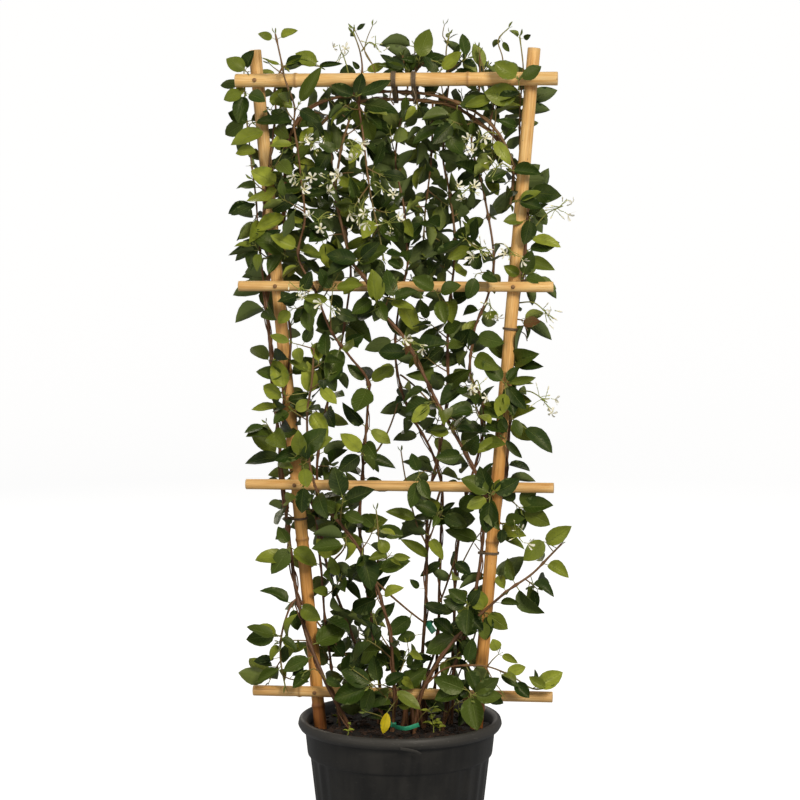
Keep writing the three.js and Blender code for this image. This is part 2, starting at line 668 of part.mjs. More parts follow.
const TIP_SHRINK = 0.55; // the last pairs of a shoot are young and small
function growLeaves(shoots, node, rods, leaves) {
  for (const shoot of shoots) {
    const next = draws(shoot.seed);
    const lengths = lengthsAlong(shoot.line);
    const total = lengths[lengths.length - 1];
    let pair = 0;
    for (let s = shoot.from; s < total; s += shoot.spacing * between(next, 0.85, 1.15), pair++) {
      const spot = at(shoot.line, lengths, s);
      const thick = shoot.thick[0] + ((shoot.thick[1] - shoot.thick[0]) * s) / total;
      const young = 1 - (1 - TIP_SHRINK) * Math.max(0, 1 - (total - s) / LEAF.youngLength);
      for (const hand of [1, -1])
        for (let k = 0; k < TRIES; k++) {
          const shrink = young * (1 - SHRINK_STEP * k);
          const leaf = tryLeaf(node, spot, thick, pair, hand, shoot.leaf, shrink, next);
          if (isClear(leaf, rods, leaves)) {
            leaves.push(leaf);
            break;
          }
        }
    }
  }
}

// ---------------------------------------------------------------- plant solids
// A round stem along a line. `face` is the way that the first of its flat sides looks.
function tube(line, thick, sides, face = null) {
  const rings = [];
  let side = face;
  line.forEach((p, i) => {
    const along = unit(sub(line[Math.min(i + 1, line.length - 1)], line[Math.max(i - 1, 0)]));
    const start = side || (Math.abs(along[1]) > 0.9 ? [1, 0, 0] : [0, 1, 0]);
    side = unit(sub(start, scale(along, dot(start, along))));
    const t = i / (line.length - 1);
    rings.push(circle(p, along, side, thick[0] + (thick[1] - thick[0]) * t, sides, Math.PI / sides));
  });
  return skin(rings);
}

function leafSolid(leaf) {
  const section = (centre, half, keel) => [
    add(centre, scale(leaf.side, half)),
    add(centre, scale(leaf.side, -half)),
    add(centre, scale(leaf.normal, -keel)),
  ];
  const blade = (t, keel) => section(onBlade(leaf, t, 0), bladeHalfWidth(leaf, t), keel);
  return skin([
    [add(leaf.root, scale(leaf.along, -ROOT_DEPTH * leaf.thick))],
    section(onBlade(leaf, 0, 0), BLADE.neck, BLADE.neckKeel),
    blade(BLADE.widest, BLADE.keel),
    blade(BLADE.shoulder, BLADE.shoulderKeel),
    [onBlade(leaf, 1, 0)],
  ]);
}

// A bloom on its own stalk, which starts at `root` inside the spray's stalk.
function bloomSolid(bloom, root) {
  const side = unit(cross(bloom.facing, [0.1, 0, 1]));
  const up = cross(bloom.facing, side);
  const neck = add(bloom.place, scale(bloom.facing, -FLOWER.back));
  const rim = [];
  for (let i = 0; i < PETALS * 2; i++) {
    const isTip = i % 2 === 0;
    const a = (Math.PI * i) / PETALS + (isTip ? FLOWER.twist : 0);
    const r = bloom.radius * (isTip ? 1 : FLOWER.notch);
    rim.push(
      sum(
        bloom.place,
        scale(side, r * Math.cos(a)),
        scale(up, r * Math.sin(a)),
        scale(bloom.facing, isTip ? -FLOWER.reflex : 0),
      ),
    );
  }
  return skin([
    circle(root, unit(sub(neck, root)), unit(cross(up, sub(neck, root))), SPRAY.pedicel, 3),
    circle(neck, bloom.facing, side, SPRAY.pedicel, 3),
    rim,
    [add(bloom.place, scale(bloom.facing, FLOWER.front))],
  ]);
}

// The spray's stalk has a face for each bloom, and the bloom's own stalk leaves by that face.
function spraySolid({ stalk, blooms }) {
  const last = sub(stalk[2], stalk[1]);
  const toFirst = sub(blooms[0].place, stalk[2]);
  const face = unit(sub(toFirst, scale(last, dot(toFirst, last) / dot(last, last))));
  const sides = Math.max(3, blooms.length);
  const parts = blooms.map((bloom, i) => bloomSolid(bloom, mix(stalk[1], stalk[2], SPRAY.forks[i])));
  return wasm.Manifold.union([tube(stalk, [SPRAY.stalkFoot, SPRAY.stalk], sides, face), ...parts]);
}

// ---------------------------------------------------------------- pot, soil and canes
const INNER_STEP = { foot: 1, top: 3 }; // how much higher the step lies inside
const FLUTES_END = 2; // how far above the foot of the step

// The flutes stand either side of the smooth front and back.
const fluted = (angle) => {
  const fromFront = Math.abs(Math.asin(Math.cos(angle))) * (180 / Math.PI);
  return fromFront > POT.plainHalfAngle;
};

function potSolid() {
  const { footRadius, stepHeight, stepRadius, stepRise, bandFoot, bandRadius, wall } = POT;
  const { rimRadius, rimDepth, chamfer, lip, height } = POT;
  const band = height - rimDepth;
  const outside = [
    [0, 0], [footRadius, 0], [stepRadius, stepHeight], [bandFoot, stepHeight + stepRise],
    [bandRadius, band], [rimRadius - chamfer.width, band], [rimRadius, band + chamfer.rise],
    [rimRadius - lip.slope, height - lip.fall], [rimRadius - lip.width, height],
  ];
  const inside = [
    [bandRadius - wall, height - lip.inside], [bandFoot - wall, stepHeight + stepRise + INNER_STEP.top],
    [stepRadius - wall, stepHeight + INNER_STEP.foot], [footRadius - wall, POT.floor], [0, POT.floor],
  ];
  const profile = [...outside, ...inside].map(([r, z]) => new THREE.Vector2(r, z));
  const shell = new THREE.LatheGeometry(profile, POT.sides).rotateX(Math.PI / 2);
  const place = shell.getAttribute("position");
  for (let i = 0; i < place.count; i++) {
    const [x, y, z] = [place.getX(i), place.getY(i), place.getZ(i)];
    const angle = Math.atan2(y, x);
    const step = Math.round((angle / (2 * Math.PI)) * POT.sides);
    const radius = Math.hypot(x, y);
    if (radius < 1 || z > stepHeight + FLUTES_END || !fluted(angle) || step % 2 === 0) continue;
    const k = 1 - POT.fluteDepth / radius;
    place.setXY(i, x * k, y * k);
  }
  let pot = solidOf(shell);
  for (let i = 0; i < POT.drainHoles; i++) {
    const a = (2 * Math.PI * (i + 0.5)) / POT.drainHoles;
    const [x, y] = [POT.drainCircle * Math.cos(a), POT.drainCircle * Math.sin(a)];
    pot = pot.subtract(rod([x, y, -CUT_PAST], [x, y, POT.floor + CUT_PAST], POT.drainRadius, 6));
  }
  return pot;
}

const mound = (x, y) => {
  const { height, long, short } = MOUND;
  const rolling = long.share * Math.cos(x / long.x + 1) * Math.cos(y / long.y);
  return height * (rolling + short.share * Math.sin(x / short.x - y / short.y));
};

function soilSolid(buried) {
  const { clear, bandFootUp, edgeDown } = SOIL;
  const slope = (POT.stepRadius - POT.footRadius) / (POT.stepHeight - POT.floor);
  const below = (z) => [POT.footRadius - POT.wall - clear.below + slope * (z - POT.floor), z];
  const band = POT.bandRadius - POT.wall;
  const levels = [
    below(POT.floor + GAP),
    below(POT.stepHeight + INNER_STEP.foot),
    [band - clear.foot, POT.stepHeight + bandFootUp],
    [band - clear.band, SOIL.top - edgeDown],
  ];
  const surface = SOIL.ringRadii.map((r) => [r, SOIL.top]);
  const rings = [...levels, ...surface].map(([r, z], k) =>
    Array.from({ length: SOIL.sides }, (_, i) => {
      const a = (2 * Math.PI * i) / SOIL.sides;
      const [x, y] = [r * Math.cos(a), r * Math.sin(a)];
      return [x, y, k < levels.length ? z : z + mound(x, y)];
    }),
  );
  const ground = skin([...rings, [[0, 0, SOIL.top + SOIL.crown]]]);
  return ground.subtract(wasm.Manifold.union(buried));
}

// A cane from one end to the other, with its swollen joints.
function cane(from, to, radius, firstJoint) {
  const span = sub(to, from);
  const total = size(span);
  const along = unit(span);
  const side = Math.abs(along[2]) > 0.9 ? [1, 0, 0] : [0, 0, 1];
  const square = unit(sub(side, scale(along, dot(side, along))));
  const turn = Math.PI / CANE_SIDES;
  const ring = (s, r) => circle(add(from, scale(along, s)), along, square, r, CANE_SIDES, turn);
  const { spacing, swell, waist, halfLength, clearOfEnd } = CANE_JOINT;
  const rings = [ring(0, radius)];
  for (let s = firstJoint; s < total - clearOfEnd; s += spacing)
    rings.push(
      ring(s - halfLength, radius - waist),
      ring(s, radius + swell),
      ring(s + halfLength, radius - waist),
    );
  rings.push(ring(total, radius));
  return skin(rings);
}

// A closed band round one or more round things in a plane across `along`.
// rounds: [centre, radius]. The flats of the band keep clear of them.
const BAND_POINTS = 10;
const BAND_SLACK = 0.09; // of a round's radius, for the flats
function bandRound({ rounds, along, side, width }) {
  const other = cross(along, side);
  const loop = (grow, offset) =>
    Array.from({ length: BAND_POINTS }, (_, i) => {
      const a = (2 * Math.PI * i) / BAND_POINTS;
      const out = add(scale(side, Math.cos(a)), scale(other, Math.sin(a)));
      const [centre, radius] = rounds.reduce((best, r) =>
        dot(r[0], out) + r[1] > dot(best[0], out) + best[1] ? r : best,
      );
      return sum(centre, scale(out, radius * (1 + BAND_SLACK) + GAP + grow), scale(along, offset));
    });
  return skin(
    [
      loop(BAND_THICKNESS, -width / 2),
      loop(BAND_THICKNESS, width / 2),
      loop(0, width / 2),
      loop(0, -width / 2),
    ],
    true,
  );
}

// ---------------------------------------------------------------- assembly
const group = new THREE.Group();
function place(name, solid, color, roughness = 0.7) {
  const { numProp, vertProperties, triVerts, numVert } = solid.getMesh();
  const positions = new Float32Array(numVert * 3);
  for (let i = 0; i < numVert; i++)
    positions.set(vertProperties.subarray(i * numProp, i * numProp + 3), i * 3);
  const geometry = new THREE.BufferGeometry()
    .setAttribute("position", new THREE.BufferAttribute(positions, 3))
    .setIndex(new THREE.BufferAttribute(triVerts, 1));
  geometry.computeVertexNormals();
  const finish = new THREE.MeshStandardMaterial({ color, roughness, metalness: 0 });
  const mesh = new THREE.Mesh(geometry, finish);
  mesh.name = name;
  group.add(mesh);
}

// stems first, because sprays, leaves, holes and bands are worked out from them
const rods = [];
const addRod = (from, to, radius, node) =>
  rods.push({ from, to, radius, node, square: Math.max(dot(sub(to, from), sub(to, from)), 1e-6) });
const stemSolids = new Map();
for (const [node, shoots] of Object.entries(PLANT)) {
  const tubes = shoots.map((shoot, i) => {
    const line = through(shoot.path, STEM_STEP);
    for (let k = 1; k < line.length; k++) {
      const t = k / (line.length - 1);
      addRod(line[k - 1], line[k], shoot.thick[0] + (shoot.thick[1] - shoot.thick[0]) * t, node);
    }
    shoot.line = line;
    return tube(line, shoot.thick, i ? SHOOT_SIDES : STEM_SIDES);
  });
  stemSolids.set(node, wasm.Manifold.union(tubes));
}
// each spray is drawn off along its stalk until it just clears the stems
const stemRods = [...rods];
const seatSpray = (spray, index) => {
  for (let off = 1; ; off += SPRAY.seatStep) {
    const grown = growSpray(spray, index, off);
    const clearance = Math.min(...stemRods.map((r) => rodDistance(r, grown.stalk[0])));
    if (clearance >= GAP) return grown;
  }
};
const sprays = SPRAYS.map(seatSpray);

const uprights = [LEFT_UPRIGHT, RIGHT_UPRIGHT].map((upright) => ({
  from: [uprightX(upright, UPRIGHT.bottom), 0, UPRIGHT.bottom],
  to: [uprightX(upright, UPRIGHT.top), 0, UPRIGHT.top],
}));
for (const { from, to } of uprights) addRod(from, to, UPRIGHT.radius, "cane");
for (const rail of RAILS)
  addRod([rail.left, railY(rail), rail.z], [rail.right, railY(rail), rail.z], rail.radius, "cane");

const BLOOM_VIEW = 45; // how far in front of a bloom no leaf hangs
const BLOOM_CORE = 0.75; // of its radius
const BAND_ROOM = 3; // round what a band holds
for (const { stalk, blooms } of sprays) {
  addRod(stalk[0], stalk[1], SPRAY.stalk, "spray");
  addRod(stalk[1], stalk[2], SPRAY.stalk, "spray");
  for (const { place: centre, facing, radius } of blooms)
    addRod(centre, add(centre, scale(facing, BLOOM_VIEW)), radius * BLOOM_CORE, "spray");
}

// bands that hold the stems to the canes
const stemRound = (node, axis, value) => {
  const { line, thick } = PLANT[node][0];
  const i = line.findIndex((p, k) => {
    const passes = k && (line[k - 1][axis] - value) * (p[axis] - value) <= 0;
    return passes && (axis === 2 || p[2] > RAILS[2].z);
  });
  const t = (value - line[i - 1][axis]) / (line[i][axis] - line[i - 1][axis]);
  return { round: [mix(line[i - 1], line[i], t), thick[0]], along: unit(sub(line[i], line[i - 1])) };
};
const topRail = RAILS[3];
const bands = ARCH_TIES.map(({ name, x }) => ({
  name,
  along: [1, 0, 0],
  side: [0, 1, 0],
  width: 6,
  colour: COLOUR.greyTie,
  rounds: [
    [[x, railY(topRail), topRail.z], topRail.radius],
    ...["stem_left_outer", "stem_right_outer"].map((node) => stemRound(node, 0, x).round),
  ],
}));
for (const { name, upright, z, node } of UPRIGHT_TIES)
  bands.push({
    name,
    along: unit([upright.lean, 0, 1]),
    side: [0, 1, 0],
    width: 3,
    colour: COLOUR.greyTie,
    rounds: [[[uprightX(upright, z), 0, z], UPRIGHT.radius], stemRound(node, 2, z).round],
  });
for (const { name, node, z } of GREEN_TIES) {
  const { round, along } = stemRound(node, 2, z);
  const side = unit(sub([0, 1, 0], scale(along, along[1])));
  bands.push({ name, along, side, width: 6, colour: COLOUR.greenTie, rounds: [round] });
}
for (const band of bands)
  for (const [centre, radius] of band.rounds)
    addRod(centre, add(centre, scale(band.along, 0.1)), radius + BAND_ROOM, "band");

const leaves = [];
for (const [node, shoots] of Object.entries(PLANT)) growLeaves(shoots, node, rods, leaves);

// pot, soil and canes
place("pot", potSolid(), COLOUR.pot, 0.5);
const buried = uprights.map(({ from, to }) => {
  const below = sub(from, scale(unit(sub(to, from)), GAP));
  return cane(below, mix(from, to, UPRIGHT.buried), UPRIGHT.radius + HOLE_ROOM, Infinity);
});
for (const [root] of Object.values(PLANT)) {
  const [foot, ...above] = root.line.slice(0, 3);
  const below = sub(foot, scale(unit(sub(above[0], foot)), GAP));
  const room = root.thick[0] + HOLE_ROOM;
  buried.push(tube([below, ...above], [room, room], STEM_SIDES));
}
place("potting_soil", soilSolid(buried), COLOUR.soil, 0.95);

const nailHole = (x, rail) => {
  const front = railY(rail) - rail.radius - CUT_PAST;
  const end = -UPRIGHT.radius + NAIL.intoUpright + GAP;
  return rod([x, front, rail.z], [x, end, rail.z], NAIL.hole, NAIL.shankSides);
};
const crossings = RAILS.flatMap((rail) =>
  [["left", LEFT_UPRIGHT], ["right", RIGHT_UPRIGHT]].map(([hand, upright]) => ({
    name: `nail_${rail.name.slice(5)}_${hand}`,
    rail,
    hand,
    x: uprightX(upright, rail.z),
  })),
);
for (const [hand, upright] of [["left", uprights[0]], ["right", uprights[1]]]) {
  const holes = crossings.filter((c) => c.hand === hand).map((c) => nailHole(c.x, c.rail));
  const solid = cane(upright.from, upright.to, UPRIGHT.radius, UPRIGHT.joint);
  place(`upright_${hand}`, solid.subtract(wasm.Manifold.union(holes)), COLOUR.cane);
}
for (const rail of RAILS) {
  const y = railY(rail);
  const holes = crossings.filter((c) => c.rail === rail).map((c) => nailHole(c.x, rail));
  const solid = cane([rail.left, y, rail.z], [rail.right, y, rail.z], rail.radius, rail.joint);
  place(rail.name, solid.subtract(wasm.Manifold.union(holes)), COLOUR.cane);
}
for (const { name, rail, x } of crossings) {
  const face = railY(rail) - rail.radius - GAP;
  const point = [x, -UPRIGHT.radius + NAIL.intoUpright, rail.z];
  const inHead = [x, face - NAIL.headThickness / 2, rail.z];
  const top = [x, face - NAIL.headThickness, rail.z];
  const shank = rod(inHead, point, NAIL.shank, NAIL.shankSides);
  const head = rod(top, [x, face, rail.z], NAIL.head, NAIL.headSides);
  place(name, shank.add(head), COLOUR.steel, 0.4);
}
for (const band of bands)
  place(band.name, bandRound(band), band.colour);

sprays.forEach((spray, i) =>
  place(`flower_spray_${String(i + 1).padStart(2, "0")}`, spraySolid(spray), COLOUR.bloom, 0.5),
);
for (const [node, stem] of stemSolids) {
  const own = leaves.filter((leaf) => leaf.node === node).map(leafSolid);
  place(node, wasm.Manifold.union([stem, ...own]), COLOUR.plant, 0.45);
}

export default group;
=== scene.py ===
# Star jasmine on a cane trellis in a nursery pot: its surfaces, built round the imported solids.
# Growth is worked out in millimetres, in the frame's axes, and turned into metres in each mesh.
import json
import math

import bmesh
import bpy
import numpy as np
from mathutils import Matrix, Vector, noise

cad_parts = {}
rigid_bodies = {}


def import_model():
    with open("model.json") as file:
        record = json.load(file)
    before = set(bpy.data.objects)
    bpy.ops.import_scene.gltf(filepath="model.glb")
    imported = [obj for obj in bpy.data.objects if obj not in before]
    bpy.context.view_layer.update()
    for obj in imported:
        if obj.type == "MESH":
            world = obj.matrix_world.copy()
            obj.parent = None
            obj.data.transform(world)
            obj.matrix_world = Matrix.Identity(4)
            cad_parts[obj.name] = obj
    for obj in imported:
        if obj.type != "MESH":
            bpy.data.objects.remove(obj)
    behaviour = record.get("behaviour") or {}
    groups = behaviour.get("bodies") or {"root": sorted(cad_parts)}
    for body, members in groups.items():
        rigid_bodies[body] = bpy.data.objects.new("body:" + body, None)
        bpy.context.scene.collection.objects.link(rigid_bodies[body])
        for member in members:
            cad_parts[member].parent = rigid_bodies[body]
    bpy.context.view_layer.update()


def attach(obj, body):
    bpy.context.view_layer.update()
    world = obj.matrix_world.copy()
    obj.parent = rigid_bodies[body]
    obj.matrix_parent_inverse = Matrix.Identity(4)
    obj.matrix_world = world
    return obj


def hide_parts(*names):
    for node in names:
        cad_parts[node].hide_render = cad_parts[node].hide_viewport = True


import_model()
SEEDS = {"noise": 7, "look": 9000, "stem": 400, "spray": 600, "chip": 300, "blade": 800, "seedlings": 77}
noise.seed_set(SEEDS["noise"])
MM = 0.001

# ---------------------------------------------------------------- sizes shared with the solids
GAP = 0.3
POT_HEIGHT = 220
POT_RIM = 130
SOIL_TOP = 205
SOIL_MOUND = 5
UPRIGHT_RADIUS = 8
UPRIGHT_BOTTOM = 62
UPRIGHT_TOP = 1063
UPRIGHT_JOINT = 170  # from the foot to the first joint
LEFT_UPRIGHT = {"x": -104, "lean": -0.0938}
RIGHT_UPRIGHT = {"x": 99, "lean": 0.0805}
UPRIGHTS = {"left": LEFT_UPRIGHT, "right": RIGHT_UPRIGHT}
RAILS = [
    {"name": "rail_bottom", "z": 252, "left": -187, "right": 195, "radius": 6.8, "joint": 60},
    {"name": "rail_lower", "z": 517, "left": -195, "right": 195, "radius": 6.6, "joint": 108},
    {"name": "rail_upper", "z": 768, "left": -203, "right": 193, "radius": 6.5, "joint": 100},
    {"name": "rail_top", "z": 1024, "left": -205, "right": 197, "radius": 8.5, "joint": 76},
]
STEM_STEP = 48
PETIOLE = 5
TWINE = {"radius": 10.6, "points_per_turn": 12}
SPRAY = {"stalk": 1.5, "arch": 8, "seed": 7000, "spread": 12, "seat_step": 0.1}
FORKS = [0.85, 0.55, 0.7, 0.4]
BLOOM_RADIUS = (8, 10)
BLOOM_VIEW = {"length": 45, "width": 0.75}  # the clear way before a bloom
ARCH_TIES = [("tie_arch_left", -6), ("tie_arch_right", 19)]
UPRIGHT_TIES = [
    ("tie_right_upper", RIGHT_UPRIGHT, 715, "stem_right_outer"),
    ("tie_right_lower", RIGHT_UPRIGHT, 432, "stem_diagonal"),
    ("tie_left_lower", LEFT_UPRIGHT, 472, "stem_left_outer"),
]
GREEN_TIES = [("tie_green_upper", "stem_centre_three", 334), ("tie_green_lower", "stem_centre_left", 216)]

# what a leaf stays clear of
CLEAR_OF_ROD = 3.4
CLEAR_OF_OWN = 1.6
CLEAR_OF_LEAF = 3.6
CLEAR_OF_NECK = 2
NECK = 1
TRIES = 9
SHRINK_STEP = 0.045
REACH = 0.62
LEAF_RULE = {
    "turns": (6, 58), "turn_stray": 42, "forward": (-0.1, 0.75), "sideways": 0.33,
    "drop": (-0.9, 0.35), "look_x": 0.7, "look_y": 0.5, "look_up": (-0.05, 0.95),
    "half": (0.235, 0.31), "bend": (0.03, 0.28), "young_length": 70,
}
TIP_SHRINK = 0.55
LOOK_AHEAD, BACK_FROM = 14, 10  # a leaf that gets behind this y faces backwards
RIM_ROOM = {"up": 6, "in": 16}  # kept by leaves from the pot's rim
SOIL_ROOM = 5
OPEN_FRONT = -17
BAND_ROOM = 3  # kept by leaves from a tie
NEAR_Y = [0, 1, 0.001]  # never along a shoot
POINT = 1e-3  # the radius of a round shape's closed end


def upright_x(upright, z):
    return upright["x"] + upright["lean"] * (z - POT_HEIGHT)


def rail_y(rail):
    return -(UPRIGHT_RADIUS + GAP + rail["radius"])


def vec(*values):
    return np.array(values, float)


def size(v):
    return float(np.sqrt(np.dot(v, v)))


def unit(v):
    return v / size(v)


def sizes(rows):
    """Each row's length."""
    return np.sqrt((rows**2).sum(-1))


def sideways(direction, turn):
    """A way out of a shoot, square to it, at a turn round it."""
    across = unit(np.cross(direction, NEAR_Y))
    return across * math.cos(turn) + np.cross(across, direction) * math.sin(turn)


def upright_ends(upright):
    return [vec(upright_x(upright, z), 0, z) for z in (UPRIGHT_BOTTOM, UPRIGHT_TOP)]


def rail_ends(rail):
    return [vec(rail[end], rail_y(rail), rail["z"]) for end in ("left", "right")]


# ---------------------------------------------------------------- routes
class Draws:
    """A seeded stream of numbers from 0 to 1."""

    def __init__(self, seed):
        self.state = seed
        for _ in range(5):
            self.next()

    def next(self):
        self.state = (self.state * 1664525 + 1013904223) % 4294967296
        return self.state / 4294967296

    def __call__(self, low, high):
        """The next number, between low and high."""
        return low + (high - low) * self.next()


def turns_of(count):
    """The angles of so many equal steps round a circle."""
    return [math.tau * k / count for k in range(count)]


def through(points, step):
    """A smooth line through given points, in steps of about `step`."""
    points = np.array(points, float)
    line, last = [], len(points) - 1
    for i in range(last):
        p0, p1, p2, p3 = (points[min(max(k, 0), last)] for k in range(i - 1, i + 3))
        count = max(1, math.floor(size(p2 - p1) / step + 0.5))
        for j in range(count):
            t = j / count
            curve = (2 * p0 - 5 * p1 + 4 * p2 - p3) * t * t
            line.append(0.5 * (2 * p1 + (p2 - p0) * t + curve + (3 * p1 - p0 - 3 * p2 + p3) * t * t * t))
    line.append(points[-1])
    return np.array(line)


def lengths_along(line):
    return np.concatenate([[0], np.cumsum(sizes(line[1:] - line[:-1]))])


def at(line, lengths, s):
    """The place and direction at distance s along a line."""
    i = 1
    while i < len(line) - 1 and lengths[i] < s:
        i += 1
    t = (s - lengths[i - 1]) / (lengths[i] - lengths[i - 1])
    place = line[i - 1] * (1 - t) + line[i] * t
    return place, unit(line[i] - line[i - 1])


def twine(upright, low_rail, turns):
    """A route that winds once round an upright in each bay, and passes behind it at each rail."""
    radius, per_turn = TWINE["radius"], TWINE["points_per_turn"]
    points = []
    for bay in range(math.ceil(turns)):
        z0, z1 = RAILS[low_rail + bay]["z"], RAILS[low_rail + bay + 1]["z"]
        for k in range(math.ceil(min(1, turns - bay) * per_turn)):
            a = math.pi / 2 + math.tau * k / per_turn
            z = z0 + (z1 - z0) * k / per_turn
            points.append([upright_x(upright, z) + radius * math.cos(a), radius * math.sin(a), z])
    return points


def shoot_of(seed, thick, start, spacing, leaf, *path):
    """A shoot: its radius at foot and tip, where its leaves start, their spacing, length and route."""
    return {"seed": seed, "thick": thick, "from": start, "spacing": spacing, "leaf": leaf, "path": path}


